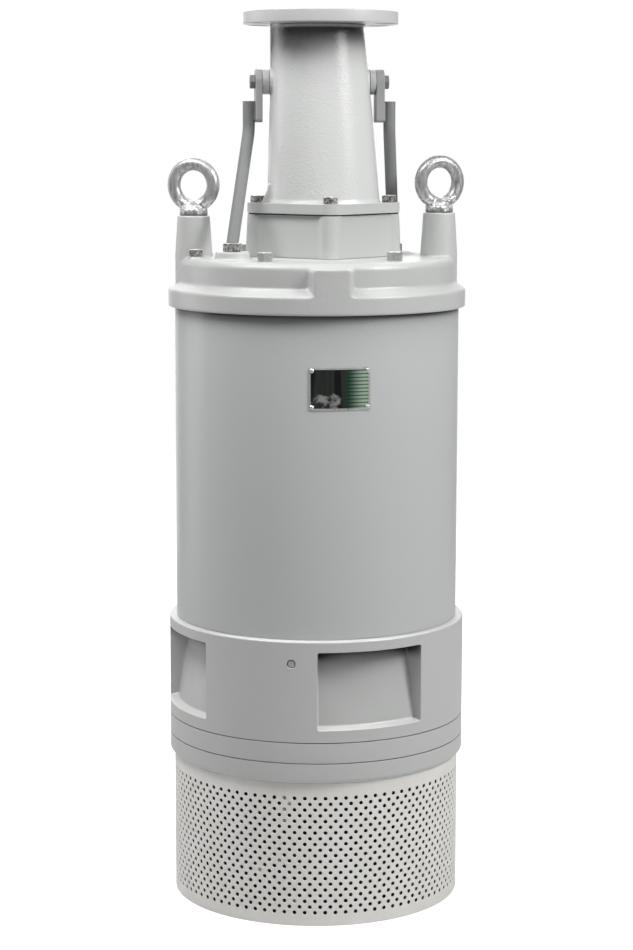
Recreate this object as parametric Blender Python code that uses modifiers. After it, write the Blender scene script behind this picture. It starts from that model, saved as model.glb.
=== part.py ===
# Slim submersible drainage pump, standing upright on its suction strainer.
# Metres, +Z up. The origin is the centre of the strainer's underside, the front tab of the cover
# faces -Y and the two lifting eyes stand at -X and +X.
import math

import bmesh
import bpy
from mathutils import Matrix, Vector

# Fits and resolution
GAP = 0.0003
OVERSHOOT = 0.02
WELD = 0.00002
ROUND_STEPS = 64
NECK_STEPS = 48
SMALL_STEPS = 24
HOLE_STEPS = 12
SMOOTH_ANGLE = math.radians(32)

# Strainer
STRAINER_R = 0.265
STRAINER_SHEET = 0.003
STRAINER_TOP = 0.263
BOTTOM_PLATE = 0.005
BOTTOM_EDGE = 0.0015

# Suction cover, with the spigot that holds the strainer and the bell of the inlet below it
CASING_R = 0.2732
SUCTION_TOP = 0.301
SUCTION_CHAMFER = 0.008
SPIGOT_H = 0.012
BELL_FOOT_R = 0.145
BELL_LIP_R = 0.115
BELL_INLET_R = 0.095
BELL_THROAT_R = 0.081
BELL_H = 0.060
BELL_THROAT_H = 0.020

# Diffuser ring and pump casing
DIFFUSER_TOP = 0.3384
CASING_TOP = 0.5216
JOINT_CHAMFER = 0.0016
CASING_EDGE = 0.004

# Pockets in the casing wall
POCKET_COUNT = 4
POCKET_AZ = math.radians(16.3)
POCKET_ARC = math.radians(43.0)
POCKET_LOW = 0.361
POCKET_HIGH = 0.5015
POCKET_R_LOW = 0.257
POCKET_R_HIGH = 0.234
POCKET_CORNER = 0.006
POCKET_STEPS = 9

# Threaded plug in the casing wall
PLUG_AZ = math.radians(-15.0)
PLUG_Z = 0.481
PLUG_R = 0.0085
PLUG_DEPTH = 0.012
PLUG_PROUD = 0.0008
PLUG_EDGE = 0.0006
PLUG_SOCKET_R = 0.0050
PLUG_SOCKET_DEPTH = 0.006

# Motor sleeve and nameplate
SLEEVE_R = 0.2598
SLEEVE_TOP = 1.0935
PLATE_AZ = math.radians(3.3)
PLATE_W = 0.110
PLATE_LOW = 0.929
PLATE_HIGH = 1.004
PLATE_THICK = 0.0012
PLATE_STEPS = 10

# Top cover: rim, ledge, wall, flat crown and the machined seat of the riser
RIM_R = 0.2718
RIM_TOP = 1.1255
RIM_ROUND = 0.006
RIM_FOOT_ROUND = 0.002
LEDGE_R = 0.2505
LEDGE_Z = 1.138
LEDGE_ROUND = 0.003
DOME_R = 0.251
DOME_ROUND = 0.013
CROWN_R = 0.152
CROWN_Z = 1.1828
SEAT_R = 0.150
SEAT_Z = 1.1835
WELL_R = 0.075
WELL_DEPTH = 0.040

# Tabs at the front and rear of the cover
TAB_W = 0.063
TAB_LOW = 1.1135
TAB_HIGH = 1.1735
TAB_ROUND = 0.0075
TAB_INNER_R = 0.200
TAB_INSET = 0.0002

# Lifting-eye pedestals on the cover, and the eyebolts
PEDESTAL_X = 0.225
PEDESTAL_R_TOP = 0.0293
PEDESTAL_R_WAIST = 0.0340
PEDESTAL_WAIST_Z = 1.187
PEDESTAL_FOOT_Z = 1.1155
PEDESTAL_EDGE = 0.002
PEDESTAL_TOPS = {"left": 1.2575, "right": 1.2625}
PEDESTAL_SIDES = {"left": -PEDESTAL_X, "right": PEDESTAL_X}
EYE_WIRE_R = 0.011
EYE_RING_R = 0.0385
EYE_COLLAR_R = 0.0255
EYE_COLLAR_H = 0.012
EYE_COLLAR_EDGE = 0.0015
EYE_NECK_R = 0.0235
EYE_NECK_TOP_R = 0.0130
EYE_NECK_H = 0.0130
EYE_CENTRE_UP = 0.0548
EYE_TURNS = {"left": math.radians(-23), "right": math.radians(19)}
EYE_SEGMENTS = 30
EYE_WIRE_SEGMENTS = 10

# Discharge column: riser, gasket and neck casting
COLUMN_X = 0.012
BORE_R = 0.075
RISER_LOW = SEAT_Z + GAP
RISER_HIGH = 1.2602
RISER_FACE = 0.098
RISER_LOBE_R = 0.0190
RISER_FILLET = 0.022
RISER_DRAFT = 0.0040
LOBE_BOLT_R = 0.120
LOBE_STEPS = 5
GASKET_HIGH = 1.2622
GASKET_INSET = 0.002
BASE_LOW = 1.2625
BASE_HIGH = 1.2812
BASE_FACE = 0.106
BASE_CORNER = 0.025
BASE_CORNER_STEPS = 8
NECK_H = 0.3188
NECK_R_LOW = 0.1022
NECK_R_HIGH = 0.0812
NECK_BULGE = 0.0015
NECK_BELLY_STEPS = 6
NECK_FILLET_R = 0.0034
NECK_FILLET_H = 0.0018
NECK_HEAD_FILLET = 0.004
NECK_HEAD_H = 0.006
NECK_ROOT = 0.004
NECK_LEAN = -0.032

# Discharge flange, 150 mm size
FLANGE_X = 0.0062
FLANGE_R = 0.140
FLANGE_LOW = 1.600
FLANGE_HIGH = 1.624
FLANGE_EDGE = 0.0015
FLANGE_HOLES = 8
FLANGE_HOLE_R = 0.0115
FLANGE_PCD_R = 0.120
RAISED_FACE_R = 0.106
RAISED_FACE_H = 0.002

# Side stays: boss on the neck, spacer, plate with its bolt, and a rod down to a nut on its pad
STAY_Z = 1.4975
BOSS_R = 0.0225
BOSS_ROOT = 0.060
BOSS_FACE_MARGIN = 0.001
STAY_PLATE_LOW = 1.4250
STAY_PLATE_STEPS = 12
ROD_R = 0.011
ROD_TOP = 1.463
ROD_BEND = 1.410
ROD_BEND_REACH = 0.006
PAD_DRAFT = 0.002
PAD_EDGE = 0.002
PAD_FOOT_Z = 1.160
STAYS = {
    "left": dict(side=-1, boss=0.0880, spacer=0.1005, plate=0.1130, foot=(-0.160, -0.085), pad=1.1960,
                 pad_r=0.032, nut_turn=math.radians(30)),
    "right": dict(side=1, boss=0.0945, spacer=0.1055, plate=0.1208, foot=(0.150, 0.070), pad=1.1880,
                  pad_r=0.043, nut_turn=0.0),
}
WEB_SIZE = (0.030, 0.012, 0.118)
WEB_X = -0.0705
WEB_UP = 0.047

# Hexagon heads: across flats, height, radius and height of the round face below
M16 = dict(flats=0.024, head=0.0117, washer_r=0.0116, washer_h=0.0008)
M16_LOW = dict(flats=0.024, head=0.0085, washer_r=0.0116, washer_h=0.0005)
M16_TALL = dict(flats=0.024, head=0.0155, washer_r=0.0116, washer_h=0.0008)
M20_NUT = dict(flats=0.030, head=0.0140, washer_r=0.0146, washer_h=0.0010)
HEAD_SUNK = 0.0002
HEAD_CHAMFER = math.radians(28)
HEAD_CLEAR = 0.0004
COVER_BOLT_R = 0.199
COVER_BOLT_AZ = [math.radians(a) for a in (-33.0, 38.0, 147.0, -142.0)]
COVER_BOLT_TURNS = [math.radians(a) for a in (44, 24, 10, 50)]
COVER_BOLT_Z = 1.1823
SPOT_FACE_R = 0.027
SPOT_FACE_Z = 1.1820
EDGE_BOLT_R = 0.230
EDGE_BOLT_AZ = [math.radians(a) for a in (-76.7, 103.3)]
EDGE_BOLT_Z = 1.1863
EDGE_BOSS_R = 0.0155
EDGE_BOSS_Z = 1.1860
NECK_BOLT_TURNS = [math.radians(a) for a in (0, 0, 0, 30)]

# Cable gland on its seat, behind the riser
GLAND_Y = 0.193
GLAND_SEAT_R = 0.040
GLAND_SEAT_Z = 1.1862
GLAND_BASE_R = 0.034
GLAND_BASE_H = 0.012
GLAND_R = 0.024
GLAND_BODY_H = 0.030
GLAND_NUT_CORNER_R = 0.0254
GLAND_EDGE = 0.001
GLAND_TOP = 1.238
GLAND_BORE_R = 0.013

# Colour, roughness and metallic value of each finish
FINISHES = {
    "paint": ((0.52, 0.53, 0.52, 1.0), 0.42, 0.0),
    "cast_paint": ((0.55, 0.56, 0.55, 1.0), 0.50, 0.0),
    "stainless_sheet": ((0.62, 0.60, 0.57, 1.0), 0.45, 1.0),
    "bolt_steel": ((0.33, 0.33, 0.33, 1.0), 0.45, 1.0),
    "stay_steel": ((0.30, 0.31, 0.32, 1.0), 0.40, 1.0),
    "galvanised": ((0.60, 0.61, 0.62, 1.0), 0.35, 1.0),
    "nameplate": ((0.20, 0.21, 0.20, 1.0), 0.25, 1.0),
    "rubber": ((0.03, 0.03, 0.03, 1.0), 0.70, 0.0),
}


def clear_scene():
    for thing in list(bpy.data.objects):
        bpy.data.objects.remove(thing, do_unlink=True)


def collection(name):
    made = bpy.data.collections.new(name)
    bpy.context.scene.collection.children.link(made)
    return made


clear_scene()
PUMP = collection("drainage_pump")
CUTTERS = collection("cutters")
CUTTERS.hide_render = True


def material(node_name, finish):
    """A material of its own for one sub-part."""
    colour, roughness, metallic = FINISHES[finish]
    made = bpy.data.materials.new(f"{node_name}_{finish}")
    made.use_nodes = True
    shader = made.node_tree.nodes["Principled BSDF"]
    shader.inputs["Base Color"].default_value = colour
    shader.inputs["Roughness"].default_value = roughness
    shader.inputs["Metallic"].default_value = metallic
    return made


def add_part(name, mesh, finish, at=(0, 0, 0), turn=(0, 0, 0)):
    """One sub-part, placed by its location and rotation. Sub-parts may share a mesh."""
    if not mesh.materials:
        mesh.materials.append(None)
        mesh.shade_smooth()
        mesh.set_sharp_from_angle(angle=SMOOTH_ANGLE)
    part = bpy.data.objects.new(name, mesh)
    PUMP.objects.link(part)
    part.location = at
    part.rotation_euler = turn
    part.material_slots[0].link = "OBJECT"
    part.material_slots[0].material = material(name, finish)
    return part


def add_tool(data, at=(0, 0, 0), turn=(0, 0, 0)):
    """A hidden shape that is shaped further, or cut from or joined to a sub-part."""
    tool = bpy.data.objects.new(data.name, data)
    CUTTERS.objects.link(tool)
    tool.location = at
    tool.rotation_euler = turn
    tool.hide_render = True
    tool.display_type = "WIRE"
    return tool


def finished_mesh(tool):
    """The tool's mesh or curve with its modifiers applied, welded, in world space. The tool is removed."""
    bpy.context.view_layer.update()
    graph = bpy.context.evaluated_depsgraph_get()
    mesh = bpy.data.meshes.new_from_object(tool.evaluated_get(graph))
    mesh.transform(tool.matrix_world)
    mesh.name = tool.name
    mesh.materials.clear()
    work = bmesh.new()
    work.from_mesh(mesh)
    bmesh.ops.remove_doubles(work, verts=work.verts, dist=WELD)
    bmesh.ops.recalc_face_normals(work, faces=work.faces)
    work.to_mesh(mesh)
    work.free()
    bpy.data.objects.remove(tool, do_unlink=True)
    return mesh


def combine(mesh, tools, operation):
    """The mesh after an exact Boolean with each tool. The tools are removed."""
    base = add_tool(mesh)
    for tool in tools:
        step = base.modifiers.new(tool.name, "BOOLEAN")
        step.operation = operation
        step.object = tool
    result = finished_mesh(base)
    for tool in tools:
        bpy.data.objects.remove(tool, do_unlink=True)
    return result


def rounded(points, steps=2):
    """A closed outline of corners (x, y, radius), whose corners become arcs."""
    out = []
    for i, (x, y, radius) in enumerate(points):
        here = Vector((x, y))
        if not radius:
            out.append(here)
            continue
        before = (Vector(points[i - 1][:2]) - here).normalized()
        after = (Vector(points[(i + 1) % len(points)][:2]) - here).normalized()
        half = before.angle(after) / 2
        centre = here + (before + after).normalized() * (radius / math.sin(half))
        start = here + before * (radius / math.tan(half)) - centre
        sweep = start.angle_signed(here + after * (radius / math.tan(half)) - centre)
        out += [centre + Matrix.Rotation(-sweep * k / steps, 2) @ start for k in range(steps + 1)]
    return out


def arc(centre, radius, start, end, steps):
    """Points on an arc, both ends included."""
    angles = [start + (end - start) * k / steps for k in range(steps + 1)]
    return [Vector((centre[0] + radius * math.cos(a), centre[1] + radius * math.sin(a))) for a in angles]


def lathe(name, profile, steps=ROUND_STEPS, closed=False):
    """Turns a profile of (radius, z, corner radius) about Z. It runs down the outer side."""
    points = rounded(profile)
    edges = [(i, i + 1) for i in range(len(points) - 1)]
    if closed:
        edges.append((len(points) - 1, 0))
    mesh = bpy.data.meshes.new(name)
    mesh.from_pydata([(p.x, 0.0, p.y) for p in points], edges, [])
    work = add_tool(mesh)
    turn = work.modifiers.new("turn", "SCREW")
    turn.steps = steps
    turn.render_steps = steps
    turn.use_merge_vertices = True
    turn.merge_threshold = WELD
    return finished_mesh(work)


def disc(name, radius, low, high, steps=ROUND_STEPS, edge=0.0, low_radius=None):
    """A round solid from low to high, with an optional rounded upper edge and draft."""
    foot = radius if low_radius is None else low_radius
    return lathe(name, [(0, high, 0), (radius, high, edge), (foot, low, 0), (0, low, 0)], steps)


def ring(name, outer, inner, low, high):
    profile = [(outer, high, 0), (outer, low, 0), (inner, low, 0), (inner, high, 0)]
    return lathe(name, profile, closed=True)


def plate(name, outline, low, high):
    """A flat outline with its thickness from low to high."""
    curve = bpy.data.curves.new(name, "CURVE")
    curve.dimensions = "2D"
    curve.fill_mode = "BOTH"
    curve.extrude = (high - low) / 2
    line = curve.splines.new("POLY")
    line.use_cyclic_u = True
    line.points.add(len(outline) - 1)
    for point, place in zip(line.points, outline):
        point.co = (place.x, place.y, 0, 1)
    return finished_mesh(add_tool(curve, (0, 0, (low + high) / 2)))


def swept(name, section, start, angle, steps):
    """A section of (radius, z) swept about Z, from one azimuth through an angle, with both ends closed."""
    work = bmesh.new()
    verts = [work.verts.new((*polar(radius, start), z)) for radius, z in section]
    face = work.faces.new(verts)
    bmesh.ops.spin(work, geom=[face], axis=(0, 0, 1), cent=(0, 0, 0), angle=angle, steps=steps)
    mesh = bpy.data.meshes.new(name)
    work.to_mesh(mesh)
    work.free()
    return mesh


def polar(radius, azimuth):
    """Azimuth 0 is the front (-Y) and grows towards +X."""
    return radius * math.sin(azimuth), -radius * math.cos(azimuth)


def sideways(side):
    """The rotation that lays a shape standing on Z along X, pointing away from the axis."""
    return (0, side * math.pi / 2, 0)


def hexagon(corner_r):
    return [Vector(polar(corner_r, k * math.tau / 6)) for k in range(6)]


def hex_head(name, size):
    """A chamfered hexagon head on its washer, standing on Z."""
    flat_r = size["flats"] / 2
    corner_r = size["flats"] / math.sqrt(3)
    low = size["washer_h"] - HEAD_SUNK
    high = size["washer_h"] + size["head"]
    reach = corner_r + HEAD_CLEAR
    drop = (reach - flat_r) * math.tan(HEAD_CHAMFER)
    dome = lathe(
        f"{name}_dome",
        [(0, high, 0), (flat_r, high, 0), (reach, high - drop, 0), (reach, low - OVERSHOOT, 0),
         (0, low - OVERSHOOT, 0)],
        SMALL_STEPS,
    )
    head = combine(plate(name, hexagon(corner_r), low, high), [add_tool(dome)], "INTERSECT")
    washer = disc(f"{name}_washer", size["washer_r"], 0, size["washer_h"], SMALL_STEPS)
    return combine(head, [add_tool(washer)], "UNION")


def lobed_outline(face, lobe_r, fillet):
    """A square with its corners towards -Y, +X, +Y and -X, each carrying a round bolt lobe."""
    off_line = face - LOBE_BOLT_R / math.sqrt(2)
    along = math.sqrt((lobe_r + fillet) ** 2 - (fillet + off_line) ** 2)
    outward = Vector((1.0, 1.0)).normalized()
    lobe = Vector((LOBE_BOLT_R, 0.0))
    fillet_centre = lobe + outward * (off_line + fillet) + Vector((-1.0, 1.0)).normalized() * along
    to_fillet = math.atan2(fillet_centre.y, fillet_centre.x - LOBE_BOLT_R)
    to_lobe = to_fillet - math.pi
    to_face = math.radians(-135)
    half_lobe = arc(lobe, lobe_r, -to_fillet, to_fillet, LOBE_STEPS)
    bend = arc(fillet_centre, fillet, to_lobe, to_face, LOBE_STEPS)[1:]
    corner = half_lobe + bend + [Vector((p.y, p.x)) for p in reversed(bend)]
    return [Matrix.Rotation(k * math.pi / 2, 2) @ p for k in range(4) for p in corner]


def build_strainer():
    shell = ring(
        "strainer_shell", STRAINER_R, STRAINER_R - STRAINER_SHEET, BOTTOM_PLATE + GAP, STRAINER_TOP - GAP
    )
    add_part("strainer_shell", shell, "stainless_sheet")
    bottom = lathe(
        "strainer_bottom",
        [(0, BOTTOM_PLATE, 0), (STRAINER_R, BOTTOM_PLATE, BOTTOM_EDGE), (STRAINER_R, 0, BOTTOM_EDGE),
         (0, 0, 0)],
    )
    add_part("strainer_bottom", bottom, "stainless_sheet")


def build_suction_cover():
    low = STRAINER_TOP
    spigot_r = STRAINER_R - STRAINER_SHEET - 2 * GAP
    body = lathe(
        "suction_cover",
        [(0, SUCTION_TOP - GAP, 0), (CASING_R - JOINT_CHAMFER, SUCTION_TOP - GAP, 0),
         (CASING_R, SUCTION_TOP - JOINT_CHAMFER, 0), (CASING_R, low + SUCTION_CHAMFER, 0),
         (CASING_R - SUCTION_CHAMFER, low, 0), (spigot_r, low, 0), (spigot_r, low - SPIGOT_H, 0),
         (BELL_FOOT_R, low - SPIGOT_H, 0), (BELL_LIP_R, low - BELL_H, 0), (BELL_INLET_R, low - BELL_H, 0),
         (BELL_THROAT_R, low - BELL_THROAT_H, 0), (0, low - BELL_THROAT_H, 0)],
    )
    add_part("suction_cover", body, "cast_paint")


def build_diffuser():
    body = lathe(
        "diffuser_ring",
        [(0, DIFFUSER_TOP - GAP, 0), (CASING_R - JOINT_CHAMFER, DIFFUSER_TOP - GAP, 0),
         (CASING_R, DIFFUSER_TOP - JOINT_CHAMFER, 0), (CASING_R, SUCTION_TOP + JOINT_CHAMFER, 0),
         (CASING_R - JOINT_CHAMFER, SUCTION_TOP, 0), (0, SUCTION_TOP, 0)],
    )
    add_part("diffuser_ring", body, "cast_paint")


def pocket_cutter(index):
    """A wedge with radial sides, rounded corners and a floor that leans in towards the top."""
    out_r = CASING_R + OVERSHOOT
    section = [(POCKET_R_HIGH, POCKET_HIGH), (out_r, POCKET_HIGH), (out_r, POCKET_LOW),
               (POCKET_R_LOW, POCKET_LOW)]
    start = POCKET_AZ + index * math.tau / POCKET_COUNT - POCKET_ARC / 2
    wedge = add_tool(swept(f"pocket_{index}", section, start, POCKET_ARC, POCKET_STEPS))
    bevel = wedge.modifiers.new("corners", "BEVEL")
    bevel.width = POCKET_CORNER
    bevel.segments = 2
    bevel.limit_method = "ANGLE"
    bevel.angle_limit = math.radians(30)
    return add_tool(finished_mesh(wedge))


def build_pump_casing():
    body = lathe(
        "pump_casing",
        [(0, CASING_TOP, 0), (CASING_R, CASING_TOP, CASING_EDGE), (CASING_R, DIFFUSER_TOP + JOINT_CHAMFER, 0),
         (CASING_R - JOINT_CHAMFER, DIFFUSER_TOP, 0), (0, DIFFUSER_TOP, 0)],
    )
    body = combine(body, [pocket_cutter(i) for i in range(POCKET_COUNT)], "DIFFERENCE")
    # The plug and its hole stand on Z first, then face outwards at their azimuth.
    outwards = dict(at=(*polar(CASING_R, PLUG_AZ), PLUG_Z), turn=(math.pi / 2, 0, PLUG_AZ))
    hole = disc("plug_hole", PLUG_R + GAP, -PLUG_DEPTH - GAP, OVERSHOOT, SMALL_STEPS)
    body = combine(body, [add_tool(hole, **outwards)], "DIFFERENCE")
    add_part("pump_casing", body, "cast_paint")
    plug = disc("casing_plug", PLUG_R, -PLUG_DEPTH, PLUG_PROUD, SMALL_STEPS, PLUG_EDGE)
    socket = plate("plug_socket", hexagon(PLUG_SOCKET_R), PLUG_PROUD - PLUG_SOCKET_DEPTH, OVERSHOOT)
    add_part("casing_plug", combine(plug, [add_tool(socket)], "DIFFERENCE"), "bolt_steel", **outwards)


def build_motor_sleeve():
    body = disc("motor_sleeve", SLEEVE_R, CASING_TOP + GAP, SLEEVE_TOP)
    add_part("motor_sleeve", body, "paint")


def build_nameplate():
    """A thin plate that lies round the sleeve."""
    inner = SLEEVE_R + GAP
    outer = inner + PLATE_THICK
    section = [(inner, PLATE_HIGH), (outer, PLATE_HIGH), (outer, PLATE_LOW), (inner, PLATE_LOW)]
    angle = PLATE_W / SLEEVE_R
    add_part("nameplate", swept("nameplate", section, PLATE_AZ - angle / 2, angle, PLATE_STEPS), "nameplate")


def tab(name, turn):
    """A round-cornered tab that stands on the rim, trimmed to the rim's own curve."""
    outline = rounded([
        (-TAB_W / 2, TAB_LOW, 0), (TAB_W / 2, TAB_LOW, 0), (TAB_W / 2, TAB_HIGH, TAB_ROUND),
        (-TAB_W / 2, TAB_HIGH, TAB_ROUND),
    ])
    flat = plate(name, outline, TAB_INNER_R, RIM_R + OVERSHOOT)
    block = finished_mesh(add_tool(flat, turn=(math.pi / 2, 0, 0)))
    trim = disc(f"{name}_trim", RIM_R - TAB_INSET, TAB_LOW - OVERSHOOT, TAB_HIGH + OVERSHOOT)
    return add_tool(combine(block, [add_tool(trim)], "INTERSECT"), turn=(0, 0, turn))


def build_top_cover():
    crown = lathe(
        "top_cover",
        [(0, SEAT_Z, 0), (SEAT_R, SEAT_Z, 0), (CROWN_R, CROWN_Z, 0), (DOME_R, CROWN_Z, DOME_ROUND),
         (LEDGE_R, LEDGE_Z, LEDGE_ROUND), (RIM_R, RIM_TOP, RIM_ROUND),
         (RIM_R, SLEEVE_TOP + GAP, RIM_FOOT_ROUND), (0, SLEEVE_TOP + GAP, 0)],
    )
    added = [tab("tab_front", 0), tab("tab_rear", math.pi)]
    for side, top in PEDESTAL_TOPS.items():
        pedestal = lathe(
            f"pedestal_{side}",
            [(0, top, 0), (PEDESTAL_R_TOP, top, PEDESTAL_EDGE), (PEDESTAL_R_WAIST, PEDESTAL_WAIST_Z, 0),
             (PEDESTAL_R_WAIST, PEDESTAL_FOOT_Z, 0), (0, PEDESTAL_FOOT_Z, 0)],
            SMALL_STEPS,
        )
        added.append(add_tool(pedestal, (PEDESTAL_SIDES[side], 0, 0)))
    for side, stay in STAYS.items():
        pad = disc(
            f"pad_{side}", stay["pad_r"] - PAD_DRAFT, PAD_FOOT_Z, stay["pad"], SMALL_STEPS, PAD_EDGE,
            stay["pad_r"],
        )
        added.append(add_tool(pad, (*stay["foot"], 0)))
    for azimuth in EDGE_BOLT_AZ:
        boss = disc("edge_boss", EDGE_BOSS_R, PAD_FOOT_Z, EDGE_BOSS_Z, SMALL_STEPS)
        added.append(add_tool(boss, (*polar(EDGE_BOLT_R, azimuth), 0)))
    gland_seat = disc("gland_seat", GLAND_SEAT_R, PAD_FOOT_Z, GLAND_SEAT_Z, SMALL_STEPS, PAD_EDGE)
    added.append(add_tool(gland_seat, (0, GLAND_Y, 0)))
    crown = combine(crown, added, "UNION")
    well = disc("well", WELL_R, SEAT_Z - WELL_DEPTH, SEAT_Z + OVERSHOOT, NECK_STEPS)
    cuts = [add_tool(well, (COLUMN_X, 0, 0))]
    for azimuth in COVER_BOLT_AZ:
        spot_face = disc("spot_face", SPOT_FACE_R, SPOT_FACE_Z, SPOT_FACE_Z + OVERSHOOT, SMALL_STEPS)
        cuts.append(add_tool(spot_face, (*polar(COVER_BOLT_R, azimuth), 0)))
    add_part("top_cover", combine(crown, cuts, "DIFFERENCE"), "cast_paint")


def build_bolts():
    """The cover's bolts and the bolts of the neck's base flange."""
    tall = hex_head("m16_tall_head", M16_TALL)
    small = hex_head("m16_head", M16)
    for k, (azimuth, turn) in enumerate(zip(COVER_BOLT_AZ, COVER_BOLT_TURNS), start=1):
        at = (*polar(COVER_BOLT_R, azimuth), COVER_BOLT_Z)
        add_part(f"cover_bolt_{k}", tall, "bolt_steel", at, (0, 0, turn))
    for k, azimuth in enumerate(EDGE_BOLT_AZ, start=1):
        at = (*polar(EDGE_BOLT_R, azimuth), EDGE_BOLT_Z)
        add_part(f"edge_bolt_{k}", small, "bolt_steel", at)
    for k, turn in enumerate(NECK_BOLT_TURNS):
        x, y = polar(LOBE_BOLT_R, k * math.pi / 2)
        at = (COLUMN_X + x, y, BASE_HIGH + GAP)
        add_part(f"neck_bolt_{k + 1}", small, "bolt_steel", at, (0, 0, turn))


def build_lifting_eyes():
    """Both eyebolts share one forging, turned differently on their pedestals."""
    bpy.ops.mesh.primitive_torus_add(
        major_segments=EYE_SEGMENTS, minor_segments=EYE_WIRE_SEGMENTS, major_radius=EYE_RING_R,
        minor_radius=EYE_WIRE_R, location=(0, 0, EYE_CENTRE_UP), rotation=(math.pi / 2, 0, 0),
    )
    eye = finished_mesh(bpy.context.active_object)
    eye.name = "lifting_eye"
    neck_high = EYE_COLLAR_H + EYE_NECK_H
    collar = lathe(
        "eye_collar",
        [(0, neck_high, 0), (EYE_NECK_TOP_R, neck_high, 0), (EYE_NECK_R, EYE_COLLAR_H, 0),
         (EYE_COLLAR_R, EYE_COLLAR_H, EYE_COLLAR_EDGE), (EYE_COLLAR_R, 0, 0), (0, 0, 0)],
        SMALL_STEPS,
    )
    eye = combine(eye, [add_tool(collar)], "UNION")
    for side, top in PEDESTAL_TOPS.items():
        at = (PEDESTAL_SIDES[side], 0, top + GAP)
        add_part(f"lifting_eye_{side}", eye, "galvanised", at, (0, 0, EYE_TURNS[side]))


def build_riser():
    """A hollow block with four bolt lobes, a little wider at its foot."""
    outline = lobed_outline(RISER_FACE, RISER_LOBE_R, RISER_FILLET)
    block = plate("discharge_riser", outline, RISER_LOW, RISER_HIGH)
    reach = LOBE_BOLT_R + RISER_LOBE_R
    middle = (RISER_LOW + RISER_HIGH) / 2
    for vert in block.vertices:
        if vert.co.z < middle:
            vert.co.xy *= (reach + RISER_DRAFT) / reach
    bore = disc("riser_bore", BORE_R, RISER_LOW - OVERSHOOT, RISER_HIGH + OVERSHOOT, NECK_STEPS)
    block = combine(block, [add_tool(bore)], "DIFFERENCE")
    add_part("discharge_riser", block, "cast_paint", (COLUMN_X, 0, 0))


def build_gasket():
    outline = lobed_outline(RISER_FACE - GASKET_INSET, RISER_LOBE_R - GASKET_INSET, RISER_FILLET)
    sheet = plate("discharge_gasket", outline, RISER_HIGH + GAP, GASKET_HIGH)
    low, high = RISER_HIGH - OVERSHOOT, GASKET_HIGH + OVERSHOOT
    bore = disc("gasket_bore", BORE_R + GASKET_INSET, low, high, NECK_STEPS)
    sheet = combine(sheet, [add_tool(bore)], "DIFFERENCE")
    add_part("discharge_gasket", sheet, "rubber", (COLUMN_X, 0, 0))


def leaning(mesh):
    """Leans a shape sideways with the neck, about the level of the base flange."""
    slope = Matrix.Identity(4)
    slope[0][2] = NECK_LEAN
    mesh.transform(slope)
    return mesh


def neck_profile():
    """The neck's outer side from top to bottom, with a slight belly and fillets at both flanges."""
    head_r = NECK_R_HIGH + NECK_HEAD_FILLET
    foot_r = NECK_R_LOW + NECK_FILLET_R
    top = NECK_H + NECK_ROOT
    foot = BASE_LOW - BASE_HIGH + NECK_ROOT
    points = [(0, top, 0), (head_r, top, 0), (head_r, NECK_H - NECK_FILLET_H, 0)]
    for k in range(NECK_BELLY_STEPS + 1):
        t = k / NECK_BELLY_STEPS
        radius = NECK_R_HIGH + (NECK_R_LOW - NECK_R_HIGH) * t + NECK_BULGE * math.sin(math.pi * t)
        points.append((radius, NECK_HEAD_H + (1 - t) * (NECK_H - 2 * NECK_HEAD_H), 0))
    points += [(NECK_R_LOW + NECK_FILLET_R / 3, NECK_FILLET_H, 0), (foot_r, -NECK_FILLET_H, 0)]
    return points + [(foot_r, foot, 0), (0, foot, 0)]


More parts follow.
